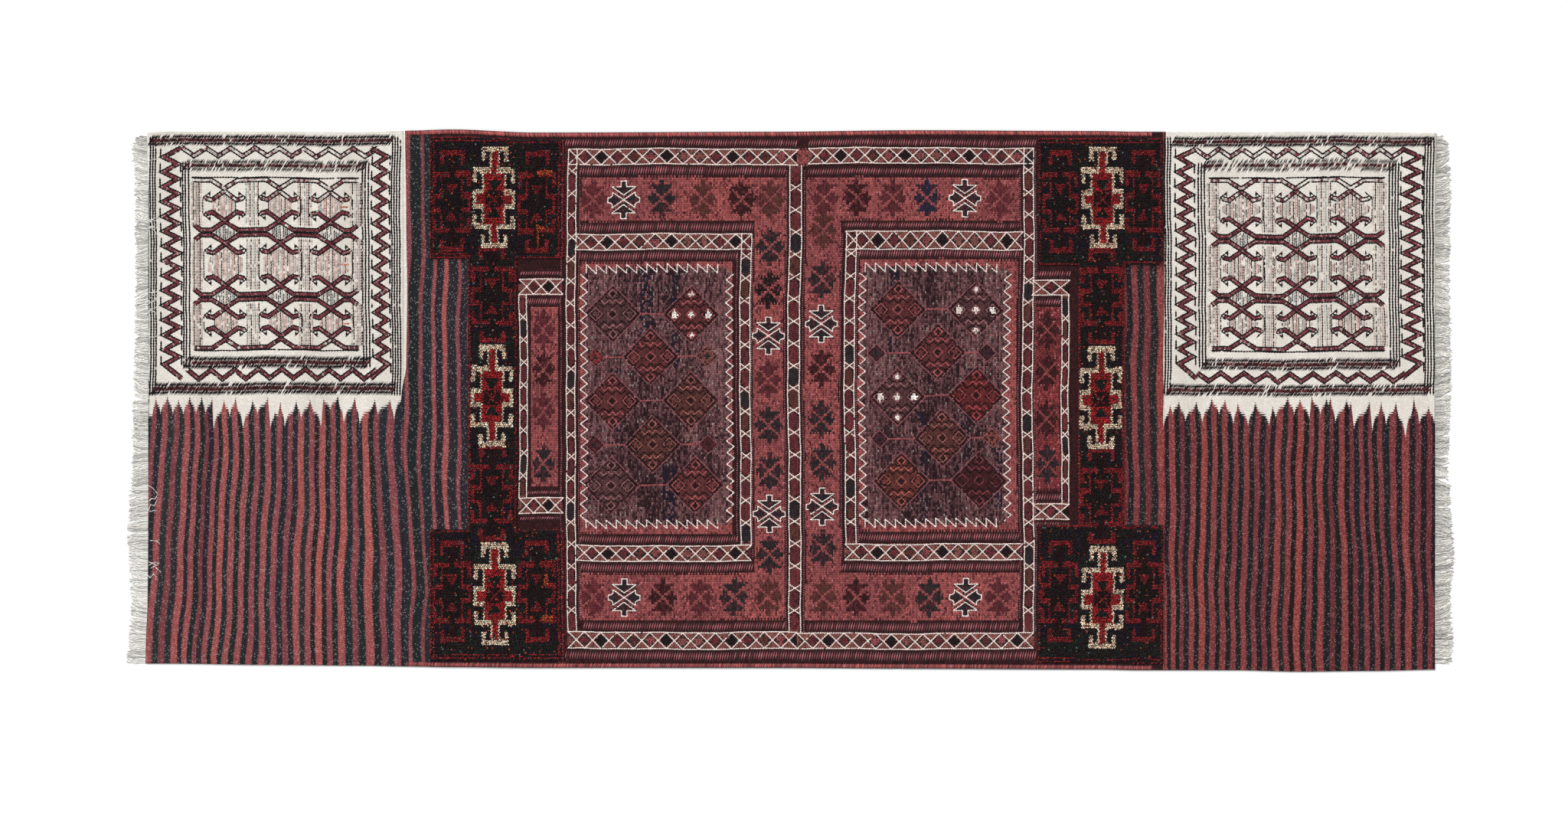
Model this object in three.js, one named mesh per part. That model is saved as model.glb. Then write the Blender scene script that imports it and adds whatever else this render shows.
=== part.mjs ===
import * as THREE from 'three';

// A saddlebag rug opened out flat. It is one weaving: striped flat-woven ends, two bands of knotted
// pile with stepped sides, and a thicker wrapped weave in the middle. The warps run along X and end
// in a fringe. Y runs across the rug and Z is up, in millimetres, and the underside lies at Z = 0.

// Driving dimensions

const kilimThick = 3.0; // the striped ends and their ivory panels
const soumakThick = 4.6; // the wrapped weave in the middle
const pileThick = 9.0; // ground weave and pile together
const beadThick = 5.6; // crown of the yarn overcast along the long sides
const beadWidth = 9;
const stepRun = 1.8; // length over which one level of the weave rises to the next
const undulation = { height: 0.25, along: 71, across: 53 }; // a hand-woven face wanders up and down
const foldDepth = 0.6; // an old fold line across the right face
const foldAt = 205;
const foldHalfWidth = 16;
const clothSpan = [-1220, 1220]; // the first and last place, before they follow the ends' own lines
const longestStep = { along: 62, across: 84 }; // the coarsest spacing of the surface's points

const beadSpan = { from: -728.6, to: 685 };
const pileInset = 13; // from the cloth's long sides to the pile

// One row for each pile band: the square blocks' sides, the narrow column's sides, and the inner
// edges of the upper and lower block.
const pileBands = [
  { from: -683.7, to: -428.5, columnFrom: -611.2, columnTo: -518.4, upper: 268.3, lower: -243.6 },
  { from: 467.6, to: 705.4, columnFrom: 544.5, columnTo: 631.5, upper: 256.7, lower: -234.9 },
];

// The long sides wander, as hand weaving does: places along X, the far side (+Y) and the near side.
const longSides = [
  { at: -1225.0, far: 506.8, near: -497.9 },
  { at: -1180.0, far: 509.5, near: -497.9 },
  { at: -989.6, far: 509.0, near: -500.3 },
  { at: -815.6, far: 508.2, near: -501.7 },
  { at: -728.6, far: 511.1, near: -503.2 },
  { at: -641.6, far: 513.3, near: -504.6 },
  { at: -482.1, far: 507.5, near: -506.0 },
  { at: -32.6, far: 509.0, near: -506.0 },
  { at: 228.4, far: 511.9, near: -507.5 },
  { at: 576.4, far: 510.4, near: -509.0 },
  { at: 663.4, far: 509.0, near: -510.4 },
  { at: 837.4, far: 508.2, near: -510.4 },
  { at: 967.9, far: 509.0, near: -513.3 },
  { at: 1098.4, far: 508.2, near: -511.9 },
  { at: 1225.0, far: 506.8, near: -509.2 },
];

// The ends: places along Y, the cloth's two edges and how far the tips of the fringe reach.
const ends = [
  { at: -514.0, left: -1221.6, right: 1220.4, leftTip: -1247.0, rightTip: 1241.0 },
  { at: -490.0, left: -1221.4, right: 1220.4, leftTip: -1256.4, rightTip: 1250.0 },
  { at: -460.0, left: -1220.9, right: 1220.6, leftTip: -1253.0, rightTip: 1254.0 },
  { at: -380.0, left: -1217.5, right: 1220.6, leftTip: -1249.0, rightTip: 1248.0 },
  { at: -300.0, left: -1216.8, right: 1220.8, leftTip: -1252.0, rightTip: 1256.4 },
  { at: -256.7, left: -1216.5, right: 1220.8, leftTip: -1255.0, rightTip: 1252.5 },
  { at: -111.7, left: -1215.8, right: 1220.8, leftTip: -1246.5, rightTip: 1246.0 },
  { at: 33.4, left: -1213.7, right: 1220.8, leftTip: -1243.5, rightTip: 1250.0 },
  { at: 250.9, left: -1214.4, right: 1221.0, leftTip: -1239.5, rightTip: 1247.0 },
  { at: 395.9, left: -1215.8, right: 1221.7, leftTip: -1241.0, rightTip: 1249.0 },
  { at: 480.0, left: -1218.7, right: 1223.1, leftTip: -1246.0, rightTip: 1245.0 },
  { at: 514.0, left: -1219.5, right: 1223.1, leftTip: -1234.0, rightTip: 1233.0 },
];

const seamGap = 0.3; // between the cloth's edge and the fringe's strip
const strip = { width: 3.4, thick: 2.2 };
const lock = {
  perEnd: 120,
  endMargin: 3, // from the cloth's corners to the outermost locks
  rootShare: 0.84, // width at the root, as a share of the spacing
  midShare: 0.66,
  tipShare: 0.4,
  midPlace: 0.55, // where along its length a lock bends
  midLean: 0.3, // the share of its lean that it has there
  tipThick: 1.1,
  ragged: 2.4, // how unevenly the tips end
  cornerCalm: 40, // within this distance of a corner the locks lean less and less
  firstSeed: { left: 1, right: 500 },
};

// The locks lean to one side and the other in groups, as two waves along the fringe.
const leanWaves = [
  { reach: 3.6, length: 107, start: 0 },
  { reach: 2.2, length: 258, start: 1.3 },
];

// Reads one column of a table at a place between its rows, easing from row to row.
function readTable(rows, column, at) {
  const last = rows.length - 1;
  if (at <= rows[0].at) return rows[0][column];
  if (at >= rows[last].at) return rows[last][column];
  const next = rows.findIndex((row) => row.at >= at);
  const before = rows[next - 1];
  const after = rows[next];
  const share = (at - before.at) / (after.at - before.at);
  const eased = share * share * (3 - 2 * share);
  return THREE.MathUtils.lerp(before[column], after[column], eased);
}

// Fills the space between sorted places so that no step is longer than the given one.
function fillSteps(places, longest) {
  const filled = [places[0]];
  for (const place of places.slice(1)) {
    const start = filled[filled.length - 1];
    const steps = Math.max(1, Math.ceil((place - start) / longest));
    for (let step = 1; step <= steps; step += 1) {
      filled.push(start + ((place - start) * step) / steps);
    }
  }
  return filled;
}

// The two places where a rise from one level of the weave to the next starts and ends.
function riseAt(place) {
  return [place - stepRun / 2, place + stepRun / 2];
}

// Places along the rug where the surface has points, from the left end to the right one.
function placesAlong() {
  const rises = [beadSpan.from, beadSpan.to];
  for (const band of pileBands) {
    rises.push(band.from, band.columnFrom, band.columnTo, band.to);
  }
  const fold = [foldAt - foldHalfWidth, foldAt, foldAt + foldHalfWidth];
  const named = rises.flatMap(riseAt).concat(fold, clothSpan);
  return fillSteps(named.sort((a, b) => a - b), longestStep.along);
}

// Lines that run along the rug. Each is a distance from the far or the near side, or a place of its
// own at the left and the right pile band, because the bands' blocks don't end at the same place.
function linesAlong() {
  const [leftBand, rightBand] = pileBands;
  const rims = [0, beadWidth / 2, beadWidth, ...riseAt(pileInset)];
  const lastRim = rims[rims.length - 1];
  const sideAt = (column, band) => readTable(longSides, column, (band.from + band.to) / 2);
  const between = [
    { left: sideAt('near', leftBand) + lastRim, right: sideAt('near', rightBand) + lastRim },
  ];
  for (const level of ['lower', 'upper']) {
    for (const shift of [-stepRun / 2, stepRun / 2]) {
      between.push({ left: leftBand[level] + shift, right: rightBand[level] + shift });
    }
  }
  between.push({ left: sideAt('far', leftBand) - lastRim, right: sideAt('far', rightBand) - lastRim });
  const lines = rims.map((inset) => ({ fromNear: inset }));
  for (let index = 1; index < between.length; index += 1) {
    const from = between[index - 1];
    const to = between[index];
    const steps = Math.max(1, Math.ceil((to.left - from.left) / longestStep.across));
    for (let step = 1; step <= steps; step += 1) {
      lines.push({
        left: THREE.MathUtils.lerp(from.left, to.left, step / steps),
        right: THREE.MathUtils.lerp(from.right, to.right, step / steps),
      });
    }
  }
  lines.pop(); // the last one is the far side's innermost rim, which follows as a rim
  return lines.concat(rims.reverse().map((inset) => ({ fromFar: inset })));
}

// Where a line lies across the rug, at a place along it.
function lineY(line, x) {
  if ('fromNear' in line) return readTable(longSides, 'near', x) + line.fromNear;
  if ('fromFar' in line) return readTable(longSides, 'far', x) - line.fromFar;
  const [leftBand, rightBand] = pileBands;
  const share = (x - leftBand.to) / (rightBand.from - leftBand.to);
  return THREE.MathUtils.lerp(line.left, line.right, THREE.MathUtils.clamp(share, 0, 1));
}

// How far a point lies in from the nearer long side.
function insideLongSide(x, y) {
  return Math.min(y - readTable(longSides, 'near', x), readTable(longSides, 'far', x) - y);
}

// Whether a point lies on one of the pile bands.
function onPile(x, y) {
  if (insideLongSide(x, y) < pileInset) return false;
  return pileBands.some((band) => {
    const inBlock = x > band.from && x < band.to && (y > band.upper || y < band.lower);
    const inColumn = x > band.columnFrom && x < band.columnTo;
    return inBlock || inColumn;
  });
}

// Height of the top face above the floor.
function topHeight(x, y) {
  const [leftBand, rightBand] = pileBands;
  const inset = insideLongSide(x, y);
  let height = kilimThick;
  if (x > leftBand.columnTo && x < rightBand.columnFrom) height = soumakThick;
  if (onPile(x, y)) height = pileThick;
  if (x > beadSpan.from && x < beadSpan.to && inset < beadWidth) {
    height = THREE.MathUtils.lerp(kilimThick, beadThick, Math.sin((Math.PI * inset) / beadWidth));
  }
  const wander = Math.sin(x / undulation.along) * Math.cos(y / undulation.across);
  const foldShare = Math.max(0, 1 - Math.abs(x - foldAt) / foldHalfWidth);
  return height + undulation.height * wander - foldDepth * foldShare;
}

// The cloth: a box with a point at each place and line, laid out to the rug's own outline.
function clothGeometry() {
  const places = placesAlong();
  const lines = linesAlong();
  const cellsX = places.length - 1;
  const cellsY = lines.length - 1;
  const geometry = new THREE.BoxGeometry(1, 1, 1, cellsX, cellsY, 1);
  const position = geometry.attributes.position;
  for (let index = 0; index < position.count; index += 1) {
    const column = Math.round((position.getX(index) + 0.5) * cellsX);
    const row = Math.round((position.getY(index) + 0.5) * cellsY);
    const onTop = position.getZ(index) > 0;
    let x = places[column];
    const y = lineY(lines[row], x);
    const z = onTop ? topHeight(x, y) : 0;
    if (column === 0) x = readTable(ends, 'left', y);
    if (column === cellsX) x = readTable(ends, 'right', y);
    position.setXYZ(index, x, y, z);
  }
  geometry.computeVertexNormals();
  return geometry;
}

// The points of the cloth's end edge, from the near corner to the far one.
function endEdge(side) {
  const places = placesAlong();
  const endPlace = side === 'left' ? places[0] : places[places.length - 1];
  return linesAlong().map((line) => {
    const y = lineY(line, endPlace);
    return new THREE.Vector2(readTable(ends, side, y), y);
  });
}

// A repeatable scatter between -1 and 1: the far decimals of a sine hold no order.
function scatter(seed) {
  const stride = 12.9898;
  const magnify = 43758.5453;
  const wave = Math.sin(seed * stride) * magnify;
  return 2 * (wave - Math.floor(wave)) - 1;
}

// How far the tips of the locks near a place lean across the rug.
function lean(y, low, high) {
  const calm = THREE.MathUtils.clamp(Math.min(y - low, high - y) / lock.cornerCalm, 0, 1);
  const waves = leanWaves.map((wave) => wave.reach * Math.sin((2 * Math.PI * y) / wave.length + wave.start));
  return calm * waves.reduce((sum, wave) => sum + wave, 0);
}

// One end's fringe: a comb of locks on a narrow strip, thinning towards the tips.
function fringeGeometry(side) {
  const outward = side === 'left' ? -1 : 1;
  const edge = endEdge(side);
  const corner = { near: edge[0].y, far: edge[edge.length - 1].y };
  const low = corner.near + lock.endMargin;
  const high = corner.far - lock.endMargin;
  const spacing = (high - low) / lock.perEnd;
  const frontX = (y) => readTable(ends, side, y) + outward * (seamGap + strip.width);
  const outline = edge.map((point) => new THREE.Vector2(point.x + outward * seamGap, point.y));
  outline.push(new THREE.Vector2(frontX(corner.far), corner.far));
  for (let index = lock.perEnd - 1; index >= 0; index -= 1) {
    const y = low + (index + 0.5) * spacing;
    const root = frontX(y);
    const short = (lock.ragged * (1 + scatter(index + lock.firstSeed[side]))) / 2;
    const tip = readTable(ends, `${side}Tip`, y) - outward * short;
    const middle = THREE.MathUtils.lerp(root, tip, lock.midPlace);
    const tipY = y + lean(y, low, high);
    const middleY = THREE.MathUtils.lerp(y, tipY, lock.midLean);
    const halfWidths = [lock.rootShare, lock.midShare, lock.tipShare].map((share) => (share * spacing) / 2);
    const spine = [
      new THREE.Vector2(root, y),
      new THREE.Vector2(middle, middleY),
      new THREE.Vector2(tip, tipY),
    ];
    spine.forEach((point, at) => outline.push(new THREE.Vector2(point.x, point.y + halfWidths[at])));
    spine.reverse();
    halfWidths.reverse();
    spine.forEach((point, at) => outline.push(new THREE.Vector2(point.x, point.y - halfWidths[at])));
  }
  outline.push(new THREE.Vector2(frontX(corner.near), corner.near));
  const shape = new THREE.Shape(outline);
  const geometry = new THREE.ExtrudeGeometry(shape, { depth: 1, bevelEnabled: false });
  const position = geometry.attributes.position;
  for (let index = 0; index < position.count; index += 1) {
    if (position.getZ(index) === 0) continue;
    const x = position.getX(index);
    const y = position.getY(index);
    const out = (x - frontX(y)) / (readTable(ends, `${side}Tip`, y) - frontX(y));
    const share = THREE.MathUtils.clamp(out, 0, 1);
    position.setZ(index, THREE.MathUtils.lerp(strip.thick, lock.tipThick, share));
  }
  geometry.computeVertexNormals();
  return geometry;
}

const woolMaterial = new THREE.MeshStandardMaterial({ color: 0x6b3436, roughness: 0.95, metalness: 0 });
const warpMaterial = new THREE.MeshStandardMaterial({ color: 0xd4d0c9, roughness: 0.9, metalness: 0 });

const rug = new THREE.Group();
rug.name = 'saddlebag_rug';

const cloth = new THREE.Mesh(clothGeometry(), woolMaterial);
cloth.name = 'rug_cloth';
rug.add(cloth);

for (const side of ['left', 'right']) {
  const fringe = new THREE.Mesh(fringeGeometry(side), warpMaterial);
  fringe.name = `fringe_${side}`;
  rug.add(fringe);
}

export default rug;
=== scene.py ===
import math

import bpy
import numpy as np
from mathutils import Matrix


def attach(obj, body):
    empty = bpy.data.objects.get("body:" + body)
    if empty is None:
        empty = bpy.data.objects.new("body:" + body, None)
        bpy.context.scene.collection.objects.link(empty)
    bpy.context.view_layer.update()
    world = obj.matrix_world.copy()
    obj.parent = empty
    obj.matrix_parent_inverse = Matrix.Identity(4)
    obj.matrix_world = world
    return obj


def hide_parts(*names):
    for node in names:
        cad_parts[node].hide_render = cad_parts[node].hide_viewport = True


# A flat-woven saddlebag rug opened out flat. The warps run along X and end in the fringes, the wefts
# and their stripes run along Y, and Z is up. Places and sizes below are millimetres.
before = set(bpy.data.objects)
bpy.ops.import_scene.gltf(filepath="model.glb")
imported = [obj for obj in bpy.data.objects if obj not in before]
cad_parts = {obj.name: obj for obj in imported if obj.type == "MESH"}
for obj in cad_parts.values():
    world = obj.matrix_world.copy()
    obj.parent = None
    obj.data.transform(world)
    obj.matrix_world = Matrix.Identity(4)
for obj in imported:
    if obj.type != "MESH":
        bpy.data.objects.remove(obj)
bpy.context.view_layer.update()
mm = 0.001
draw = np.random.default_rng(61)
print("frame loaded")

# The levels of the weave, as the solid cloth has them.
levels = {
    "stripes": 3.0,
    "rimWidth": 9.0,
    "rise": 1.8,  # run over which one level rises to the next
    "rimFrom": -728.6,
    "rimTo": 685.0,
    "pileInset": 13.0,
    "foldAt": 205.0,
    "foldReach": 16.0,
    "foldDepth": 0.6,
}

# The knotted pile bands: two square blocks, joined by a narrow column.
pileBands = [
    {"left": -683.7, "right": -428.5, "columnLeft": -611.2, "columnRight": -518.4,
     "upper": 268.3, "lower": -243.6, "light": 1.1},
    {"left": 467.6, "right": 705.4, "columnLeft": 544.5, "columnRight": 631.5,
     "upper": 256.7, "lower": -234.9, "light": 0.98},
]

# Columns: place along X, far side, near side.
longSides = [
    (-1225.0, 506.8, -497.9), (-1180.0, 509.5, -497.9), (-989.6, 509.0, -500.3), (-815.6, 508.2, -501.7),
    (-728.6, 511.1, -503.2), (-641.6, 513.3, -504.6), (-482.1, 507.5, -506.0), (-32.6, 509.0, -506.0),
    (228.4, 511.9, -507.5), (576.4, 510.4, -509.0), (663.4, 509.0, -510.4), (837.4, 508.2, -510.4),
    (967.9, 509.0, -513.3), (1098.4, 508.2, -511.9), (1225.0, 506.8, -509.2),
]

# Columns: place along Y, left edge, right edge, tips of the left fringe, tips of the right fringe.
clothEnds = [
    (-514.0, -1221.6, 1220.4, -1247.0, 1241.0), (-490.0, -1221.4, 1220.4, -1256.4, 1250.0),
    (-460.0, -1220.9, 1220.6, -1253.0, 1254.0), (-380.0, -1217.5, 1220.6, -1249.0, 1248.0),
    (-300.0, -1216.8, 1220.8, -1252.0, 1256.4), (-256.7, -1216.5, 1220.8, -1255.0, 1252.5),
    (-111.7, -1215.8, 1220.8, -1246.5, 1246.0), (33.4, -1213.7, 1220.8, -1243.5, 1250.0),
    (250.9, -1214.4, 1221.0, -1239.5, 1247.0), (395.9, -1215.8, 1221.7, -1241.0, 1249.0),
    (480.0, -1218.7, 1223.1, -1246.0, 1245.0), (514.0, -1219.5, 1223.1, -1234.0, 1233.0),
]

yarns = {
    "ivory": "#f4f1ea",
    "white": "#efe2da",
    "bone": "#ead0b6",
    "red": "#8d4a4c",
    "redDeep": "#682e32",
    "redBright": "#a35653",
    "brick": "#8c3a3b",
    "rust": "#934f47",
    "orange": "#b5512f",
    "crimson": "#a3262a",
    "garnet": "#8a262b",
    "maroon": "#5c2a2f",
    "maroonDark": "#3a191b",
    "maroonBlack": "#281517",
    "pink": "#a9646a",
    "brown": "#83504a",
    "umber": "#5b332d",
    "plum": "#4a2c34",
    "plumLight": "#7f5759",
    "navy": "#24243a",
    "green": "#1b2a27",
    "char": "#2a2629",
    "black": "#1b1416",
    "pileBlack": "#231d1d",
    "beige": "#c2b3a8",
    "rose": "#b79a94",
    "slate": "#7f8a88",
}


def linear(hexColour):
    channels = [int(hexColour[at:at + 2], 16) / 255 for at in (1, 3, 5)]
    return [c / 12.92 if c <= 0.04045 else ((c + 0.055) / 1.055) ** 2.4 for c in channels]


def tone(name, strength=1.0):
    return np.array(linear(yarns[name])) * strength


def readTable(rows, column, at):
    places = np.array([row[0] for row in rows])
    values = np.array([row[column] for row in rows])
    before = np.clip(np.searchsorted(places, at) - 1, 0, len(places) - 2)
    share = np.clip((at - places[before]) / (places[before + 1] - places[before]), 0, 1)
    eased = share * share * (3 - 2 * share)
    return values[before] + (values[before + 1] - values[before]) * eased


def rising(distance):
    share = np.clip(distance / levels["rise"] + 0.5, 0, 1)
    return share * share * (3 - 2 * share)


def inFromSide(x, y):
    return np.minimum(y - readTable(longSides, 2, x), readTable(longSides, 1, x) - y)


def pileShare(x, y):
    share = np.zeros(np.broadcast(x, y).shape)
    for band in pileBands:
        acrossBlock = rising(x - band["left"]) * rising(band["right"] - x)
        block = acrossBlock * np.maximum(rising(y - band["upper"]), rising(band["lower"] - y))
        column = rising(x - band["columnLeft"]) * rising(band["columnRight"] - x)
        share = np.maximum(share, np.maximum(block, column))
    return share * rising(inFromSide(x, y) - levels["pileInset"])


# The top of the base cloth. The wrapping, knots and overcasting rise from it to the solid's levels.
base = {"wrapped": 3.5, "pile": 5.2, "rim": 4.6, "wave": 0.25, "waveAlong": 71, "waveAcross": 53}


def groundHeight(x, y):
    leftBand, rightBand = pileBands
    inset = inFromSide(x, y)
    middle = rising(x - leftBand["columnRight"]) * rising(rightBand["columnLeft"] - x)
    height = levels["stripes"] + (base["wrapped"] - levels["stripes"]) * middle
    height = height + (base["pile"] - height) * pileShare(x, y)
    onRim = (x > levels["rimFrom"]) & (x < levels["rimTo"]) & (inset < levels["rimWidth"])
    crown = np.sin(np.pi * np.clip(inset / levels["rimWidth"], 0, 1))
    height = np.where(onRim, levels["stripes"] + (base["rim"] - levels["stripes"]) * crown, height)
    wave = base["wave"] * np.sin(x / base["waveAlong"]) * np.cos(y / base["waveAcross"])
    fold = np.clip(1 - np.abs(x - levels["foldAt"]) / levels["foldReach"], 0, 1)
    return height + wave - levels["foldDepth"] * fold


# How far hand weaving drifts from a straight line: a bow of the middle part towards one end, and
# three waves each way of about half a metre, 0.2 m and 0.08 m.
def drift(x, y):
    bow = (2.2 + 1.5 * np.cos(y / 130)) * np.clip((500 - np.abs(x)) / 60, 0, 1)
    driftX = bow + 1.0 * np.sin(y / 83 + x / 300) + 0.6 * np.sin(y / 31 + 1.7) + 0.3 * np.sin(y / 13)
    driftY = 0.9 * np.sin(x / 67 + y / 240) + 0.6 * np.sin(x / 29 + 0.6) + 0.3 * np.sin(x / 12)
    return driftX, driftY


# Where a place of the straight pattern lies on the cloth.
def drifted(x, y):
    driftX, driftY = drift(x, y)
    return x - driftX, y - driftY


# Stripes: red weft bands at whole numbers and dark ones between them. Columns: the red band's number
# and its place along X at these places along Y.
stripeLevels = [350.0, -75.0, -220.0, -365.0, -485.0]
usualPair = 20.5  # width of a red band and a dark one
stripeGuides = {
    "left": [
        (0, -1187, -1187, -1198, -1209, -1217), (2, -1144, -1144, -1149, -1160, -1167),
        (4, -1107, -1107, -1113, -1120, -1129), (6, -1072, -1072, -1077, -1084, -1091),
        (8, -1031, -1031, -1037, -1041, -1049), (11, -967, -967, -974, -982, -981),
        (14, -906, -906, -908, -914, -916), (17, -845, -845, -849, -853, -851),
        (20, -784, -784, -777, -770, -770), (21, -757, -758, -750, -742, -745),
        (22, -724, -729, -721, -714, -720), (23, -695, -704, -698, -691, -695),
        (24, -675, -676, -675, -670, -672), (25, -655, -655, -652, -650, -650),
        (26, -628, -628, -626, -625, -625),
    ],
    "right": [
        (0, 651, 652, 656, 655, 655), (1, 674, 674, 677, 676, 676), (2, 703, 703, 703, 707, 707),
        (3, 722, 722, 724, 725, 724), (4, 740, 742, 741, 740, 739), (5, 762, 764, 761, 759, 758),
        (8, 825, 825, 820, 819, 817), (12, 906, 906, 902, 898, 896), (16, 986, 986, 984, 982, 981),
        (19, 1043, 1043, 1046, 1049, 1052), (21, 1080, 1080, 1086, 1090, 1094),
        (22, 1098, 1097, 1103, 1109, 1113), (23, 1116, 1114, 1121, 1127, 1131),
        (24, 1142, 1139, 1143, 1148, 1150), (25, 1166, 1164, 1166, 1170, 1171),
        (26, 1188, 1188, 1189, 1191, 1193), (27, 1210, 1209, 1210, 1211, 1212),
    ],
}

# Where the stripes of the ends run out into the ivory panels, in flames. Columns: tip X, tip Y, and
# X and Y of the notch to the right of it.
flames = {
    "left": [
        (-1202, 5, -1193, -24), (-1180, 9, -1170, -24), (-1159, 1, -1150, -25), (-1138, 8, -1126, -24),
        (-1115, 8, -1108, -24), (-1095, 5, -1093, -53), (-1073, 1, -1062, -29), (-1051, 7, -1037, -52),
        (-1019, 1, -1010, -24), (-990, 5, -985, -50), (-977, -23, -971, -29), (-966, -1, -958, -48),
        (-936, -1, -927, -33), (-910, 1, -889, -48), (-885, 4, -872, -16), (-857, 9, -846, -41),
        (-825, 7, -816, -43), (-787, 1, -782, -25), (-758, 1, -751, -35), (-729, 30, -715, -35),
    ],
    "right": [
        (719, -9, 724, -25), (736, -2, 748, -38), (769, -2, 780, -40), (798, 4, 812, -25),
        (823, 2, 839, -44), (847, -5, 867, -46), (880, -4, 907, -46), (913, -11, 919, -31),
        (942, 6, 954, -25), (965, 2, 983, -33), (987, 8, 1004, -25), (1015, 4, 1019, -9),
        (1023, 6, 1032, -40), (1053, 0, 1058, -13), (1062, -4, 1067, -50), (1097, -2, 1102, -56),
        (1119, -2, 1128, -44), (1147, -4, 1165, -70), (1181, 6, 1191, -42), (1209, -13, 1219, -40),
    ],
}
firstNotch = {"left": (-1209, -29), "right": (707, -48)}

# The side of each ivory panel that faces the middle. Columns: place along Y, place along X.
panelSides = {
    "left": [(-10, -739), (10, -737), (67, -728), (200, -726), (352, -728), (515, -730)],
    "right": [(-30, 706), (10, 707), (66, 706), (200, 708), (350, 709), (515, 711)],
}


def stripeNumber(end, x, y):
    guides = stripeGuides[end]
    numbers = np.array([row[0] for row in guides], float)
    result = np.zeros(x.shape)
    meander = 1.6 * np.sin(y / 47 + x / 90) + 1.1 * np.sin(y / 25 + x / 37)
    levelsDown = [-level for level in stripeLevels]
    for index in range(len(result)):
        places = [np.interp(-y[index], levelsDown, row[1:]) for row in guides]
        at = x[index] + meander[index]
        number = np.interp(at, places, numbers)
        if at < places[0]:
            number = numbers[0] + (at - places[0]) / usualPair
        if at > places[-1]:
            number = numbers[-1] + (at - places[-1]) / usualPair
        result[index] = number
    return result


def aboveFlames(end, x, y):
    edges = [firstNotch[end]]
    for tipX, tipY, notchX, notchY in flames[end]:
        edges += [(tipX, tipY), (notchX, notchY)]
    places = np.array([edge[0] for edge in edges], float)
    heights = np.array([edge[1] for edge in edges], float)
    before = np.clip(np.searchsorted(places, x) - 1, 0, len(places) - 2)
    share = np.clip((x - places[before]) / (places[before + 1] - places[before]), 0, 1)
    towardsTip = np.where(heights[before + 1] > heights[before], share, 1 - share)
    low = np.minimum(heights[before], heights[before + 1])
    high = np.maximum(heights[before], heights[before + 1])
    # Steep at the tips and at the bottoms of the notches, as flames are.
    return y - low - (high - low) * (towardsTip + 0.13 * np.sin(2 * np.pi * towardsTip))


def insideSide(end, x, y):
    side = readTable(panelSides[end], 1, y)
    return side - x if end == "left" else x - side


# Materials: wool for the weave and the pile, cotton for outlines and warps

# Short names for the sums and mixes below, each with its kind of node and settings.
sums = {
    "times": "MULTIPLY", "timesPlus": "MULTIPLY_ADD", "plus": "ADD", "minus": "SUBTRACT", "over": "DIVIDE",
    "foldedEvery": "PINGPONG", "nearest": "ROUND", "wholeBelow": "FLOOR", "unsigned": "ABSOLUTE",
    "sine": "SINE", "larger": "MAXIMUM", "isNear": "COMPARE", "isBelow": "LESS_THAN",
    "isAbove": "GREATER_THAN",
}
usualNodes = {name: ("ShaderNodeMath", {"operation": operation}) for name, operation in sums.items()}
usualNodes["mix"] = ("ShaderNodeMix", {"data_type": "RGBA"})
usualNodes["dyeOver"] = ("ShaderNodeMix", {"data_type": "RGBA", "blend_type": "MULTIPLY"})


# Inputs are a dictionary, or a list in the sockets' order. A node among them gives its first output.
def addNode(tree, kind, inputs=None, settings=None):
    kind, usualSettings = usualNodes.get(kind, (kind, {}))
    node = tree.nodes.new(kind)
    for name, value in (settings or usualSettings).items():
        setattr(node, name, value)
    for socket, value in inputs.items() if isinstance(inputs, dict) else enumerate(inputs or []):
        value = value.outputs[0] if isinstance(value, bpy.types.Node) else value
        if isinstance(value, bpy.types.NodeSocket):
            tree.links.new(value, node.inputs[socket])
        else:
            node.inputs[socket].default_value = value
    return node


# Stops are places from 0 to 1 and their colours.
def setStops(rampNode, stops):
    elements = rampNode.color_ramp.elements
    while len(elements) < len(stops):
        elements.new(0.5)
    for element, (place, colour) in zip(elements, stops):
        element.position = place
        element.color = (*linear(colour), 1)


def newMaterial(name, roughness, sheen):
    material = bpy.data.materials.new(name)
    material.use_nodes = True
    tree = material.node_tree
    tree.nodes.clear()
    shader = addNode(tree, "ShaderNodeBsdfPrincipled", {
        "Roughness": roughness,
        "Sheen Weight": sheen,
        "Sheen Roughness": 0.4,
        "Specular IOR Level": 0.15,
    })
    addNode(tree, "ShaderNodeOutputMaterial", {"Surface": shader.outputs[0]})
    return material, tree, shader


weave = {
    "warpPitch": 2.2,
    "toothPitch": 4.4,  # two warps: the teeth where two colours of weft meet
    "toothReach": 0.13,  # as a share of a stripe pair
    "flameTooth": 9.0,  # mm along Y, because the flames' edges are steep
    "beadLength": 1.5,  # one weft is nearer 0.8 mm, too fine to show from above
    "beadHeight": 0.3,  # as a share of a rib
    "ribHeight": 0.4,
    "strength": 0.8,
}


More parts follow.
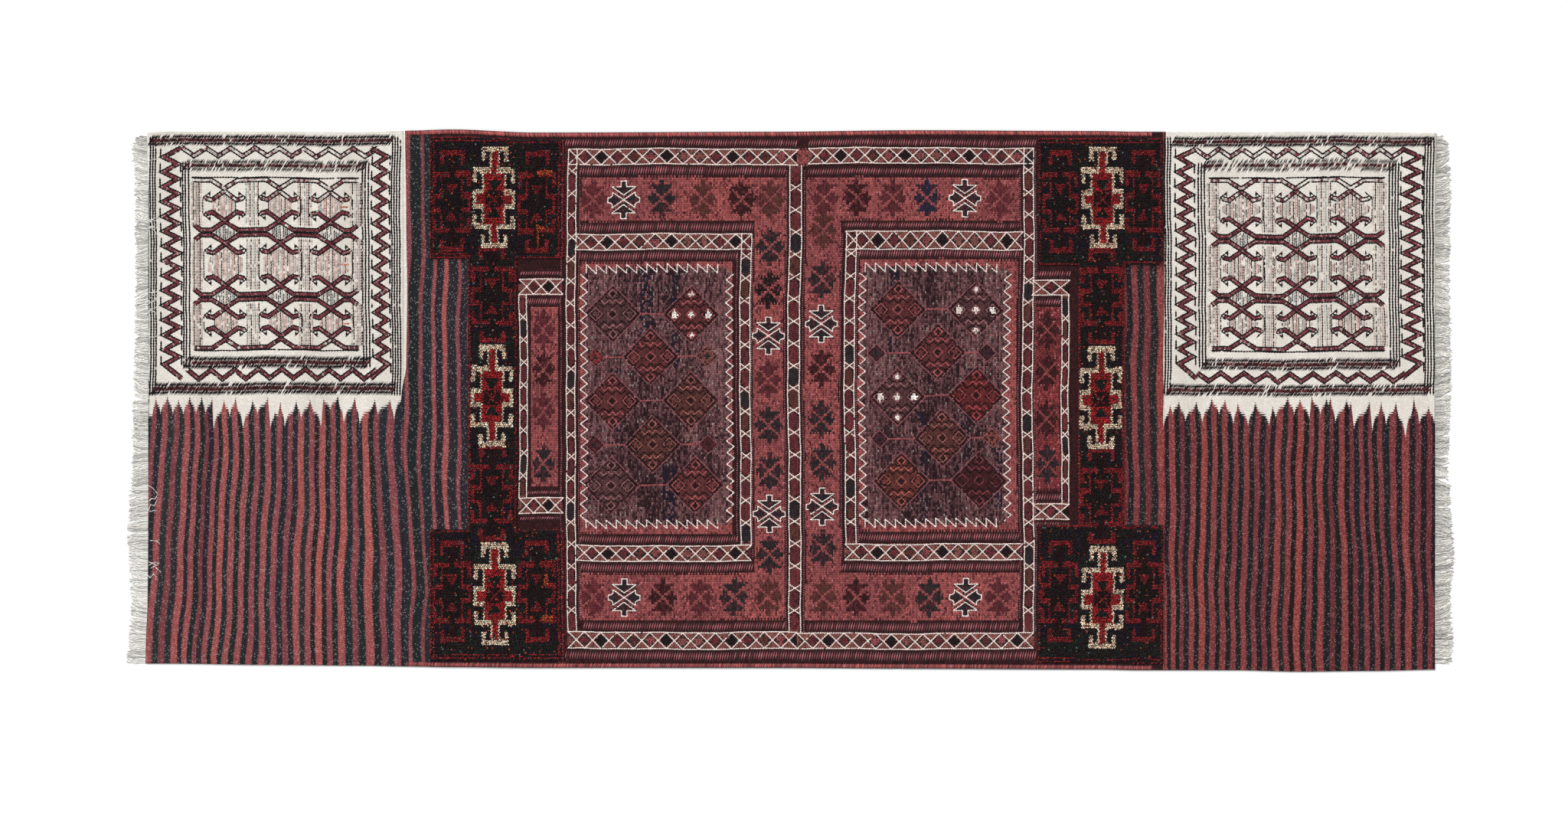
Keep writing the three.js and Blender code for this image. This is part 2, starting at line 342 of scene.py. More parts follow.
# Widths are shares of a pair of stripes, and shades are factors on the yarns' colours. Scales are
# those of noise, in waves a metre.
stripeLook = {
    "reds": [(0.2, "#6d363b"), (0.45, "#854549"), (0.62, "#954e4e"), (0.8, "#a5534d")],
    "darks": [(0.15, "#291d22"), (0.32, "#1f2526"), (0.5, "#232a2f"), (0.66, "#28212b"), (0.85, "#2c3131")],
    "ivories": [(0.3, "#d2cbc1"), (0.6, "#e1dbd2")],
    "fleckColour": "#a39a98",
    "darkNumbersFrom": 40.5,  # so that no dark band has a red one's random number
    "redByBand": 0.45,  # how much of the shade changes with the band, and how much with the abrash
    "redByAbrash": 0.6,
    "darkByBand": 0.7,
    "darkByAbrash": 0.3,
    "swellScale": (60, 6, 1),
    "abrashScale": (14, 2.2, 1),
    "redHalf": 0.13,
    "redVaries": 0.08,  # from one red band to the next
    "redSwells": 0.17,  # along one band
    "narrower": -0.09,  # beside the left band of pile
    "besideMiddle": -600.0,
    "besideReach": 135.0,
    "fleckFrom": 0.93,  # the random number from which a weft shows as a pale fleck
    "fleckStrength": 0.3,
    "leftDepth": 0.98,
    "rightDeeper": -0.24,
    "rightWarmer": -0.18,
    "panelSpread": 0.13,  # how much single wefts differ in shade
    "stripeSpread": 0.6,
    "grainScale": 240.0,
    "grainFrom": 0.55,
    "grainReach": 0.9,
}


# Weft-faced plain weave in wool, hard and flat: fine ribs along the warps, teeth where colours meet.
def stripedWool():
    look = stripeLook
    material, tree, shader = newMaterial("wool_weft_faced_stripes", 0.92, 0.03)
    place = addNode(tree, "ShaderNodeTexCoord").outputs["Object"]
    axes = addNode(tree, "ShaderNodeSeparateXYZ", [place])
    along = addNode(tree, "times", [axes.outputs[0], 1000.0])
    across = addNode(tree, "times", [axes.outputs[1], 1000.0])
    stripe, flame, side = [
        addNode(tree, "ShaderNodeAttribute", settings={"attribute_name": name}).outputs["Fac"]
        for name in ("stripe", "flameEdge", "side")]

    # Red bands lie round the whole numbers and dark ones between, and teeth shift the place in a band.
    tooth = addNode(tree, "foldedEvery", [across, weave["toothPitch"] / 2])
    toothShare = addNode(tree, "timesPlus", [tooth, 2 / weave["toothPitch"], -0.5])
    shifted = addNode(tree, "timesPlus", [toothShare, weave["toothReach"], stripe])
    redNumber = addNode(tree, "nearest", [shifted])
    pairNumber = addNode(tree, "wholeBelow", [shifted])
    darkNumber = addNode(tree, "plus", [pairNumber, look["darkNumbersFrom"]])
    fromMiddle = addNode(tree, "minus", [shifted, redNumber])
    fromRed = addNode(tree, "unsigned", [fromMiddle])
    redNoise = addNode(tree, "ShaderNodeTexWhiteNoise", {"W": redNumber}, {"noise_dimensions": "1D"})
    darkNoise = addNode(tree, "ShaderNodeTexWhiteNoise", {"W": darkNumber}, {"noise_dimensions": "1D"})
    swellPlace = addNode(tree, "ShaderNodeMapping", {"Vector": place, "Scale": look["swellScale"]})
    swell = addNode(tree, "ShaderNodeTexNoise", {"Vector": swellPlace, "Scale": 1.0, "Detail": 2.0})
    halfWidth = addNode(tree, "timesPlus", [redNoise, look["redVaries"], look["redHalf"]])
    halfWidth = addNode(tree, "timesPlus", [swell, look["redSwells"], halfWidth])
    besideBand = addNode(tree, "isNear", [along, look["besideMiddle"], look["besideReach"]])
    halfWidth = addNode(tree, "timesPlus", [besideBand, look["narrower"], halfWidth])
    isRed = addNode(tree, "isBelow", [fromRed, halfWidth])

    # Abrash: the slow change of shade from one batch of yarn to the next.
    abrashPlace = addNode(tree, "ShaderNodeMapping", {"Vector": place, "Scale": look["abrashScale"]})
    abrash = addNode(tree, "ShaderNodeTexNoise", {"Vector": abrashPlace, "Scale": 1.0, "Detail": 3.0})
    redByAbrash = addNode(tree, "times", [abrash, look["redByAbrash"]])
    redShade = addNode(tree, "timesPlus", [redNoise, look["redByBand"], redByAbrash])
    reds = addNode(tree, "ShaderNodeValToRGB", [redShade])
    setStops(reds, look["reds"])
    darkByAbrash = addNode(tree, "times", [abrash, look["darkByAbrash"]])
    darkShade = addNode(tree, "timesPlus", [darkNoise, look["darkByBand"], darkByAbrash])
    darks = addNode(tree, "ShaderNodeValToRGB", [darkShade])
    setStops(darks, look["darks"])
    stripes = addNode(tree, "mix", {0: isRed, 6: darks, 7: reds}).outputs[2]

    # Every float of weft has its own shade.
    weftPlace = addNode(tree, "over", [along, weave["beadLength"]])
    weftNumber = addNode(tree, "wholeBelow", [weftPlace])
    warpPlace = addNode(tree, "over", [across, weave["warpPitch"]])
    warpNumber = addNode(tree, "wholeBelow", [warpPlace])
    cell = addNode(tree, "ShaderNodeCombineXYZ", [weftNumber, warpNumber])
    heather = addNode(tree, "ShaderNodeTexWhiteNoise", {"Vector": cell})
    fleck = addNode(tree, "isAbove", [heather, look["fleckFrom"]])
    fleckShare = addNode(tree, "times", [fleck, look["fleckStrength"]])
    fleckColour = (*linear(look["fleckColour"]), 1)
    flecked = addNode(tree, "mix", {0: fleckShare, 6: stripes, 7: fleckColour}).outputs[2]
    # The right end is a shade darker than the left one.
    rightEnd = addNode(tree, "isAbove", [along, 0.0])
    depth = addNode(tree, "timesPlus", [rightEnd, look["rightDeeper"], look["leftDepth"]])
    ivory = addNode(tree, "ShaderNodeValToRGB", [abrash])
    setStops(ivory, look["ivories"])
    flameEdge = addNode(tree, "timesPlus", [toothShare, weave["flameTooth"], flame])
    aboveFlame = addNode(tree, "isAbove", [flameEdge, 0.0])
    beforeSide = addNode(tree, "isAbove", [side, 0.0])
    inPanel = addNode(tree, "times", [aboveFlame, beforeSide])
    notPanel = addNode(tree, "minus", [1.0, inPanel])
    spread = addNode(tree, "timesPlus", [notPanel, look["stripeSpread"], look["panelSpread"]])
    mean = addNode(tree, "larger", [inPanel, depth])
    centred = addNode(tree, "minus", [heather, 0.5])
    strength = addNode(tree, "timesPlus", [centred, spread, mean])
    grain = addNode(tree, "ShaderNodeTexNoise", {
        "Vector": place, "Scale": look["grainScale"], "Detail": 2.0})
    grained = addNode(tree, "timesPlus", [grain, look["grainReach"], look["grainFrom"]])
    grained = addNode(tree, "larger", [grained, inPanel])
    strength = addNode(tree, "times", [strength, grained])
    warmer = addNode(tree, "timesPlus", [rightEnd, look["rightWarmer"], 1.0])
    warmer = addNode(tree, "larger", [inPanel, warmer])
    paler = addNode(tree, "times", [strength, warmer])
    shade = addNode(tree, "ShaderNodeCombineColor", [strength, paler, paler])
    dyed = addNode(tree, "mix", {0: inPanel, 6: flecked, 7: ivory}).outputs[2]
    colour = addNode(tree, "dyeOver", {0: 1.0, 6: dyed, 7: shade})
    tree.links.new(colour.outputs[2], shader.inputs["Base Color"])

    # A rib over every warp, and beads of weft that are half a step apart on neighbouring ribs.
    turn = addNode(tree, "times", [across, math.pi / weave["warpPitch"]])
    wave = addNode(tree, "sine", [turn])
    rib = addNode(tree, "unsigned", [wave])
    offset = addNode(tree, "times", [warpNumber, math.pi])
    beadTurn = addNode(tree, "timesPlus", [along, math.pi / weave["beadLength"], offset])
    bead = addNode(tree, "sine", [beadTurn])
    relief = addNode(tree, "timesPlus", [bead, weave["beadHeight"], rib])
    bump = addNode(tree, "ShaderNodeBump", {
        "Height": relief, "Strength": weave["strength"], "Distance": weave["ribHeight"] * mm})
    tree.links.new(bump.outputs[0], shader.inputs["Normal"])
    return material


# Dark wool weave below the wrapping and between the knots, seen only in the gaps and from below. Its
# near-black colour is partly painted shade: it stands in for the shade in those gaps.
def groundWool():
    material, tree, shader = newMaterial("wool_ground_weave", 0.95, 0.02)
    place = addNode(tree, "ShaderNodeTexCoord").outputs["Object"]
    noise = addNode(tree, "ShaderNodeTexNoise", {"Vector": place, "Scale": 160.0, "Detail": 3.0})
    colour = addNode(tree, "ShaderNodeValToRGB", [noise])
    setStops(colour, [(0.3, "#1d1011"), (0.55, "#2e1a1c"), (0.75, "#432629")])
    tree.links.new(colour.outputs[0], shader.inputs["Base Color"])
    bump = addNode(tree, "ShaderNodeBump", {
        "Height": noise.outputs[0], "Strength": 0.5, "Distance": 0.0006})
    tree.links.new(bump.outputs[0], shader.inputs["Normal"])
    return material


# Spun yarn, dyed: every stitch has its own shade in the attribute yarn.
def dyedYarn(name, roughness, sheen):
    material, tree, shader = newMaterial(name, roughness, sheen)
    yarn = addNode(tree, "ShaderNodeAttribute", settings={"attribute_name": "yarn"})
    tree.links.new(yarn.outputs["Color"], shader.inputs["Base Color"])
    return material


materials = {
    "stripes": stripedWool(),
    "ground": groundWool(),
    "wrapping": dyedYarn("wool_wrapped_yarn", 0.88, 0.03),  # hard-spun wool, matt
    "outline": dyedYarn("cotton_outline_yarn", 0.85, 0.03),  # smoother than wool, still matt
    "pile": dyedYarn("wool_knotted_pile", 0.8, 0.04),  # cut tips with the softest gleam
    "overcast": dyedYarn("wool_overcast_yarn", 0.85, 0.04),  # tight turns that catch a little light
    "fringe": dyedYarn("cotton_warp_fringe", 0.9, 0.05),  # dull, slightly hairy
}
print("materials made")


# The cloth, in six closed lengths that meet face to face

def filledPlaces(named, longest):
    places = [named[0]]
    for place in named[1:]:
        start = places[-1]
        steps = max(1, math.ceil((place - start) / longest - 1e-6))
        places += [start + (place - start) * step / steps for step in range(1, steps + 1)]
    return places


# Rim lines keep their distance from the cloth's edges, and own lines lie straight between them.
rimInsets = [0.0, 1.2, 3.0, 4.5, 6.0, 7.8, 9.0, 12.1, 13.9]
ownLines = [-482.0, 490.0]


def sectionLines(inner, longest):
    lines = [("near", inset) for inset in rimInsets]
    lines += [("own", place) for place in filledPlaces(inner, longest)]
    return lines + [("far", inset) for inset in reversed(rimInsets)]


def sectionGrid(places, lines, endSide):
    x = np.tile(np.array(places), (len(lines), 1))
    y = np.zeros_like(x)
    for row, (kind, value) in enumerate(lines):
        if kind == "near":
            y[row] = readTable(longSides, 2, x[row]) + value
        elif kind == "far":
            y[row] = readTable(longSides, 1, x[row]) - value
        else:
            y[row] = value
    if endSide == "left":
        x[:, 0] = readTable(clothEnds, 1, y[:, 0])
    if endSide == "right":
        x[:, -1] = readTable(clothEnds, 2, y[:, -1])
    return x, y


def everyFew(count, step):
    return list(range(0, count - 1, step)) + [count - 1]


def quads(grid, flipped):
    corners = [grid[:-1, :-1], grid[:-1, 1:], grid[1:, 1:], grid[1:, :-1]]
    if flipped:
        corners.reverse()
    return np.stack([corner.ravel() for corner in corners], axis=1).tolist()


# Walls: one edge of the underside goes to every few edges of the top.
def wallFaces(top, low, lowRows, lowColumns):
    faces = []
    for index in range(len(lowColumns) - 1):
        start, stop = lowColumns[index], lowColumns[index + 1]
        near = top[0, start:stop + 1].tolist()
        far = top[-1, start:stop + 1].tolist()
        faces.append([int(low[0, index]), int(low[0, index + 1])] + near[::-1])
        faces.append([int(low[-1, index + 1]), int(low[-1, index])] + far)
    for index in range(len(lowRows) - 1):
        start, stop = lowRows[index], lowRows[index + 1]
        left = top[start:stop + 1, 0].tolist()
        right = top[start:stop + 1, -1].tolist()
        faces.append([int(low[index + 1, 0]), int(low[index, 0])] + left)
        faces.append([int(low[index, -1]), int(low[index + 1, -1])] + right[::-1])
    return faces


# One map, named OFBake: the top in the upper half, the underside below it, walls at the right.
def addMap(mesh, x, y, z, topCount, lowCount):
    vertexOf = np.zeros(len(mesh.loops), np.int32)
    mesh.loops.foreach_get("vertex_index", vertexOf)
    totals = np.zeros(len(mesh.polygons), np.int32)
    mesh.polygons.foreach_get("loop_total", totals)
    faceOf = np.repeat(np.arange(len(totals)), totals)
    shareX = (x - x.min()) / np.ptp(x)
    shareY = (y - y.min()) / np.ptp(y)
    wall = faceOf >= lowCount
    u = np.where(wall, 0.975 + 0.015 * z[vertexOf] / 10, shareY[vertexOf] * 0.96 + 0.005)
    v = np.where(faceOf < topCount, 0.51, 0.01) + shareX[vertexOf] * 0.48
    v = np.where(wall, 0.01 + 0.98 * (shareX[vertexOf] + shareY[vertexOf]) / 2, v)
    layer = mesh.uv_layers.new(name="OFBake")
    layer.data.foreach_set("uv", np.stack([u, v], axis=1).ravel())


def clothSection(name, section):
    x, y = sectionGrid(section["places"], section["lines"], section.get("endSide"))
    rows, columns = x.shape
    lowRows = everyFew(rows, section["lowStep"])
    lowColumns = everyFew(columns, section["lowStep"])
    top = np.arange(rows * columns).reshape(rows, columns)
    low = np.arange(len(lowRows) * len(lowColumns)).reshape(len(lowRows), len(lowColumns)) + top.size
    allX = np.concatenate([x.ravel(), x[np.ix_(lowRows, lowColumns)].ravel()])
    allY = np.concatenate([y.ravel(), y[np.ix_(lowRows, lowColumns)].ravel()])
    allZ = np.concatenate([groundHeight(x, y).ravel(), np.zeros(low.size)])

    faces = quads(top, False)
    topCount = len(faces)
    faces += quads(low, True)
    lowCount = len(faces)
    faces += wallFaces(top, low, lowRows, lowColumns)
    mesh = bpy.data.meshes.new(name)
    mesh.from_pydata((np.stack([allX, allY, allZ], axis=1) * mm).tolist(), [], faces)
    mesh.update()
    addMap(mesh, allX, allY, allZ, topCount, lowCount)

    if "end" in section:
        values = {
            "stripe": stripeNumber(section["end"], allX, allY),
            "flameEdge": aboveFlames(section["end"], allX, allY),
            "side": insideSide(section["end"], allX, allY),
        }
        for key, numbers in values.items():
            mesh.attributes.new(key, "FLOAT", "POINT").data.foreach_set("value", numbers)
    mesh.polygons.foreach_set("use_smooth", np.arange(len(faces)) < topCount)
    for key in section["materials"]:
        mesh.materials.append(materials[key])
    if "band" in section:
        centres = np.zeros(len(faces) * 3)
        mesh.polygons.foreach_get("center", centres)
        centres = centres.reshape(-1, 3) / mm
        ground = besidePile(section["band"], centres[:, 0], centres[:, 1])
        mesh.polygons.foreach_set("material_index", ground.astype(np.int32))
    piece = bpy.data.objects.new(name, mesh)
    bpy.context.scene.collection.objects.link(piece)
    return piece


# 0 where the stripes run on beside the narrow column, 1 on the ground of the pile.
def besidePile(side, x, y):
    band = pileBands[side]
    inBlock = (y > band["upper"]) | (y < band["lower"])
    if side == 0:
        striped = (x < band["left"]) | ((x < band["columnLeft"]) & ~inBlock)
    else:
        striped = (x > band["right"]) | ((x > band["columnRight"]) & ~inBlock)
    return np.where(striped, 0, 1)


def bandPlaces(band, start, stop):
    half = levels["rise"] / 2
    named = {start, stop}
    for key in ("left", "columnLeft", "columnRight", "right"):
        named |= {band[key] - half, band[key], band[key] + half}
    return filledPlaces(sorted(p for p in named if start <= p <= stop), 8.0)


def bandLines(band):
    half = levels["rise"] / 2
    named = set(ownLines)
    for key in ("lower", "upper"):
        named |= {band[key] - half, band[key], band[key] + half}
    return sectionLines(sorted(named), 12.0)


plainLines = sectionLines(ownLines, 14.0)
leftFlameX = [float(x) for row in flames["left"] for x in (row[0], row[2]) if x < -736]
rightFlameX = [float(x) for row in flames["right"] for x in (row[0], row[2]) if 712 < x < 1218]
sections = {
    "cloth_left_end": {
        "places": filledPlaces([-1219.0, -1209.0] + leftFlameX + [-733.0], 2.6), "lines": plainLines,
        "endSide": "left", "end": "left", "lowStep": 5, "materials": ["stripes"], "width": 0.487},
    "cloth_left_pile_ground": {
        "places": bandPlaces(pileBands[0], -733.0, -427.6), "lines": bandLines(pileBands[0]),
        "end": "left", "lowStep": 2, "materials": ["stripes", "ground"], "band": 0, "width": 0.3054},
    "cloth_middle_left": {
        "places": filledPlaces([-427.6, -1.0], 12.0), "lines": plainLines,
        "lowStep": 2, "materials": ["ground"], "width": 0.4266},
    "cloth_middle_right": {
        "places": filledPlaces([-1.0, 188.0, 205.0, 222.0, 466.7], 12.0), "lines": plainLines,
        "lowStep": 2, "materials": ["ground"], "width": 0.4677},
    "cloth_right_pile_ground": {
        "places": bandPlaces(pileBands[1], 466.7, 709.0), "lines": bandLines(pileBands[1]),
        "end": "right", "lowStep": 2, "materials": ["stripes", "ground"], "band": 1, "width": 0.2423},
    "cloth_right_end": {
        "places": filledPlaces([709.0] + rightFlameX + [1221.0], 2.6), "lines": plainLines,
        "endSide": "right", "end": "right", "lowStep": 5, "materials": ["stripes"], "width": 0.5125},
}
clothPieces = {name: clothSection(name, section) for name, section in sections.items()}
print("cloth woven in", len(clothPieces), "lengths")


# Stitches, tufts and strands

def newGroup(name, inputs):
    tree = bpy.data.node_groups.new(name, "GeometryNodeTree")
    for label, kind in inputs:
        tree.interface.new_socket(label, in_out="INPUT", socket_type="NodeSocket" + kind)
    tree.interface.new_socket("Made", in_out="OUTPUT", socket_type="NodeSocketGeometry")
    return tree, addNode(tree, "NodeGroupInput").outputs


def closeGroup(tree, made, yarn):
    plain = addNode(tree, "GeometryNodeRealizeInstances", [made])
    dyed = addNode(tree, "GeometryNodeSetMaterial", {0: plain, "Material": yarn})
    addNode(tree, "NodeGroupOutput", [dyed])
    return tree


# A low cone or pyramid on every place, with its own size and turn.
def stitchTree():
    tree, given = newGroup("SewnStitches", [
        ("Places", "Geometry"), ("Corners", "Int"), ("Tip", "Float"), ("Uneven", "Float"), ("Seed", "Int"),
        ("Yarn", "Material")])
    stitch = addNode(tree, "GeometryNodeMeshCone", {
        "Vertices": given["Corners"], "Radius Top": given["Tip"], "Radius Bottom": 1.0, "Depth": 1.0,
    }, {"fill_type": "NGON"})
    size = addNode(tree, "GeometryNodeInputNamedAttribute", {"Name": "size"}, {"data_type": "FLOAT_VECTOR"})
    turn = addNode(tree, "GeometryNodeInputNamedAttribute", {"Name": "turn"}, {"data_type": "FLOAT_VECTOR"})
    least = addNode(tree, "minus", [1.0, given["Uneven"]])
    most = addNode(tree, "plus", [1.0, given["Uneven"]])
    chance = addNode(tree, "FunctionNodeRandomValue", {
        2: least, 3: most, "Seed": given["Seed"]}, {"data_type": "FLOAT"})
    scale = addNode(tree, "ShaderNodeVectorMath", {
        0: size, "Scale": chance.outputs[1]}, {"operation": "SCALE"})
    rotation = addNode(tree, "FunctionNodeEulerToRotation", [turn])
    placed = addNode(tree, "GeometryNodeInstanceOnPoints", {
        "Points": given["Places"], "Instance": stitch, "Rotation": rotation, "Scale": scale})
    return closeGroup(tree, placed, given["Yarn"])


sewnStitches = stitchTree()


def newWork():
    return {"place": [], "size": [], "turn": [], "yarn": []}


# turn is the angle about Z of every stitch, or three angles for each of them.
def addStitches(work, x, y, z, size, turn, colour, uneven=0.16):
    count = len(x)
    turns = np.zeros((count, 3))
    if np.ndim(turn) == 2:
        turns[:] = turn
    else:
        turns[:, 2] = turn
    shade = np.clip(1 + uneven * draw.standard_normal(count), 0.4, 1.8)
    work["place"].append(np.stack([x, y, z], axis=1))
    work["size"].append(np.broadcast_to(np.array(size, float), (count, 3)))
    work["turn"].append(turns)
    work["yarn"].append(np.broadcast_to(colour, (count, 3)) * shade[:, None])


def madeByNodes(piece, tree, values):
    modifier = piece.modifiers.new("Made", "NODES")
    modifier.node_group = tree
    for item in tree.interface.items_tree:
        if item.in_out == "INPUT" and item.name in values:
            modifier[item.identifier] = values[item.name]
    graph = bpy.context.evaluated_depsgraph_get()
    mesh = bpy.data.meshes.new_from_object(piece.evaluated_get(graph))
    piece.modifiers.clear()
    piece.data = mesh
    mesh.name = piece.name
    for helper in ("size", "turn", "thick"):
        if helper in mesh.attributes:
            mesh.attributes.remove(mesh.attributes[helper])
    return piece


def placesObject(name, work):
    places = np.concatenate(work["place"]) * mm
    mesh = bpy.data.meshes.new(name + "Places")
    mesh.vertices.add(len(places))
    mesh.vertices.foreach_set("co", places.ravel())
    size = mesh.attributes.new("size", "FLOAT_VECTOR", "POINT")
    size.data.foreach_set("vector", (np.concatenate(work["size"]) * mm).ravel())
    turn = mesh.attributes.new("turn", "FLOAT_VECTOR", "POINT")
    turn.data.foreach_set("vector", np.concatenate(work["turn"]).ravel())
    colours = np.clip(np.concatenate(work["yarn"]), 0, 1)
    yarn = mesh.attributes.new("yarn", "FLOAT_COLOR", "POINT")
    yarn.data.foreach_set("color", np.concatenate([colours, np.ones((len(colours), 1))], axis=1).ravel())
    piece = bpy.data.objects.new(name, mesh)
    bpy.context.scene.collection.objects.link(piece)
    return piece


def countTriangles(piece):
    piece.data.calc_loop_triangles()
    return len(piece.data.loop_triangles)


def sewnPiece(name, work, material, corners=4, tip=0.0, uneven=0.08, seed=3):
    piece = placesObject(name, work)
    madeByNodes(piece, sewnStitches, {
        "Corners": corners, "Tip": tip, "Uneven": uneven, "Seed": seed, "Yarn": materials[material]})
    print(name, countTriangles(piece), "triangles")
    return piece


handWander = 0.15  # of a sewn stitch, each way


def sewPath(work, points, stitch, colour, closed=False):
    points = list(points)
    if closed:
        points.append(points[0])
    for (startX, startY), (stopX, stopY) in zip(points, points[1:]):
        length = math.hypot(stopX - startX, stopY - startY)
        count = max(1, round(length / stitch["pitch"]))
        share = (np.arange(count) + 0.5) / count
        x = startX + (stopX - startX) * share
        y = startY + (stopY - startY) * share
        x, y = drifted(x, y)
        x = x + draw.normal(0, handWander, count)
        y = y + draw.normal(0, handWander, count)
        keep = draw.random(count) >= stitch["worn"]
        x, y = x[keep], y[keep]
        angle = math.atan2(stopY - startY, stopX - startX)
        z = stitch["lift"] + groundHeight(x, y)
        half = length / count / 2 * stitch["overlap"]
        size = (half, stitch["width"] / 2, stitch["height"])
        addStitches(work, x, y, z, size, angle, colour, stitch["uneven"])


def sewDiamond(work, centreX, centreY, reachX, reachY, stitch, colour):
    corners = [(-1, 0), (0, 1), (1, 0), (0, -1)]
    points = [(centreX + px * reachX, centreY + py * reachY) for px, py in corners]
    sewPath(work, points, stitch, colour, True)


# The points of a line beside a path, to its left at a positive distance, mitred at the corners.
def besidePath(points, distance):
    shifted = []
    for index, (x, y) in enumerate(points):
        normals = []
        for start, stop in ((index - 1, index), (index, index + 1)):
            if start < 0 or stop >= len(points):
                continue
            stepX, stepY = points[stop][0] - points[start][0], points[stop][1] - points[start][1]
            length = math.hypot(stepX, stepY) or 1.0
            normals.append((-stepY / length, stepX / length))
        normalX = sum(normal[0] for normal in normals) / len(normals)
        normalY = sum(normal[1] for normal in normals) / len(normals)
        square = max(normalX ** 2 + normalY ** 2, 0.2)
        shifted.append((x + distance * normalX / square, y + distance * normalY / square))
    return shifted


# The wrapped weave of the middle: every stitch is coloured by the pattern where it lies

wrapping = {
    "pitchX": 3.0,  # a row of wrapping is nearer 2 mm wide, too fine to show from above
    "pitchY": 4.3,  # two warps
    "reach": 4.5, "width": 2.5, "height": 1.25,
    "slant": 0.33, "unevenSlant": 0.1,
    "wander": 0.2,
    "shift": 1.1,
    "uneven": 0.24,  # in shade
}


def inBox(x, y, left, right, low, high):
    return (x > left) & (x < right) & (y > low) & (y < high)


def inDiamond(x, y, centreX, centreY, reachX, reachY):
    return np.abs(x - centreX) / reachX + np.abs(y - centreY) / reachY < 1


# Columns: what it is, left, right, low, high.
leftFace = [
    ("dark", -519, 13, -507, 514), ("maroon", -441, -422, -507, 498),
    ("hatch", -428, 13, 480, 497), ("hatch", -428, 13, -493, -473),
    ("band", -421, 14, 447, 476), ("band", -421, 14, -470, -439),
    ("red", -399, -9, -416, 423), ("hatch", -399, -9, 425, 445), ("hatch", -392, -9, -436, -418),
    ("dark", -402, -67, -328, 340), ("hatch", -399, -69, 318, 338), ("hatch", -396, -69, -326, -307),
    ("band", -407, -73, 286, 315), ("band", -404, -73, -304, -275),
    ("hatch", -399, -98, 264, 283), ("hatch", -397, -98, -271, -254),
    ("red", -397, -107, -252, 262), ("seam", -434, -429, -500, 498), ("seam", -400, -396, -415, 445),
    ("seam", -9, -5, -440, 440), ("seam", -72, -68, -300, 310), ("seam", -101, -97, -270, 282),
    ("column", -92, -73, -275, 315), ("column", -421, -405, -440, 476),
]
rightFace = [
    ("dark", 13, 545, -512, 514), ("red", 12, 36, 448, 478), ("maroon", 463, 480, -507, 498),
    ("hatch", 34, 467, 480, 497), ("hatch", 13, 467, -494, -473),
    ("band", 34, 461, 449, 478), ("band", 14, 461, -470, -441),
    ("red", 30, 434, -416, 422), ("hatch", 32, 434, 426, 442), ("hatch", 32, 434, -438, -418),
    ("dark", 96, 436, -327, 341), ("hatch", 98, 434, 325, 339), ("hatch", 98, 434, -325, -306),
    ("band", 104, 440, 286, 320), ("band", 104, 440, -302, -272),
    ("hatch", 130, 434, 269, 288), ("hatch", 130, 434, -267, -249),
    ("red", 132, 432, -247, 267), ("seam", 25, 29, -440, 440), ("seam", 96, 100, -300, 318),
    ("seam", 127, 131, -270, 285), ("seam", 434, 438, -415, 445), ("seam", 463, 467, -440, 476),
    ("column", 106, 125, -272, 320), ("column", 443, 461, -440, 478), ("column", -1, 21, -440, 447),
]
tabs = [
    ("dark", -519, -422, -243, 268), ("hatch", -511, -431, 236, 247), ("band", -513, -427, 201, 230),
    ("hatch", -498, -431, 180, 196), ("hatch", -498, -431, -180, -170), ("band", -513, -427, -214, -185),
    ("hatch", -511, -431, -228, -219), ("red", -491, -437, -164, 177), ("column", -513, -499, -185, 201),
    ("dark", 463, 545, -234, 256), ("hatch", 466, 530, 233, 248), ("band", 459, 528, 200, 228),
    ("hatch", 466, 512, 180, 194), ("hatch", 466, 512, -191, -175), ("band", 459, 528, -225, -196),
    ("hatch", 466, 528, -238, -229), ("deep", 466, 511, -170, 178), ("column", 514, 527, -196, 200),
]
everyZone = leftFace + rightFace + tabs
zoneTones = {
    "dark": ("maroonDark", "maroonBlack"), "maroon": ("maroon", "maroonDark"),
    "hatch": ("maroonDark", "char"), "seam": ("maroonBlack", "char"),
    "red": ("red", "redBright"), "deep": ("redDeep", "brick"),
}

fields = [
    {"left": -388, "right": -112, "low": -234, "high": 250, "light": 1.14, "patches": [
        (-281, -256, 120, 250), (-222, -205, 60, 250), (-240, -215, -230, -120), (-330, -318, -60, 60)]},
    {"left": 139, "right": 413, "low": -232, "high": 252, "light": 1.06, "patches": [
        (189, 207, 90, 250), (246, 262, -230, -20), (327, 346, -110, 60), (388, 404, -200, -90)]},
]
# A field's ground goes from dark to pale plum: by slow clouds, by columns of stitches, by the runs of
# one yarn in a column, and by single stitches.
fieldLook = {
    "halfWidth": 138,
    "palerOutside": 0.62,  # as a share of the half width
    "byEdge": 0.36,
    "byColumn": 0.3,
    "byRun": 0.7,
    "byStitch": 0.26,
    "runLength": 19,
    "dark": 0.3,
    "pale": 1.05,
    "flecks": 0.02,
    "moreFlecks": 0.12,  # where the ground is palest
    "patchFull": 0.55,
}
zigzag = {"reach": 6.8, "pitch": 21.8, "toothPitch": 19.1, "toothHigh": 8.0, "toothLow": 8.5}

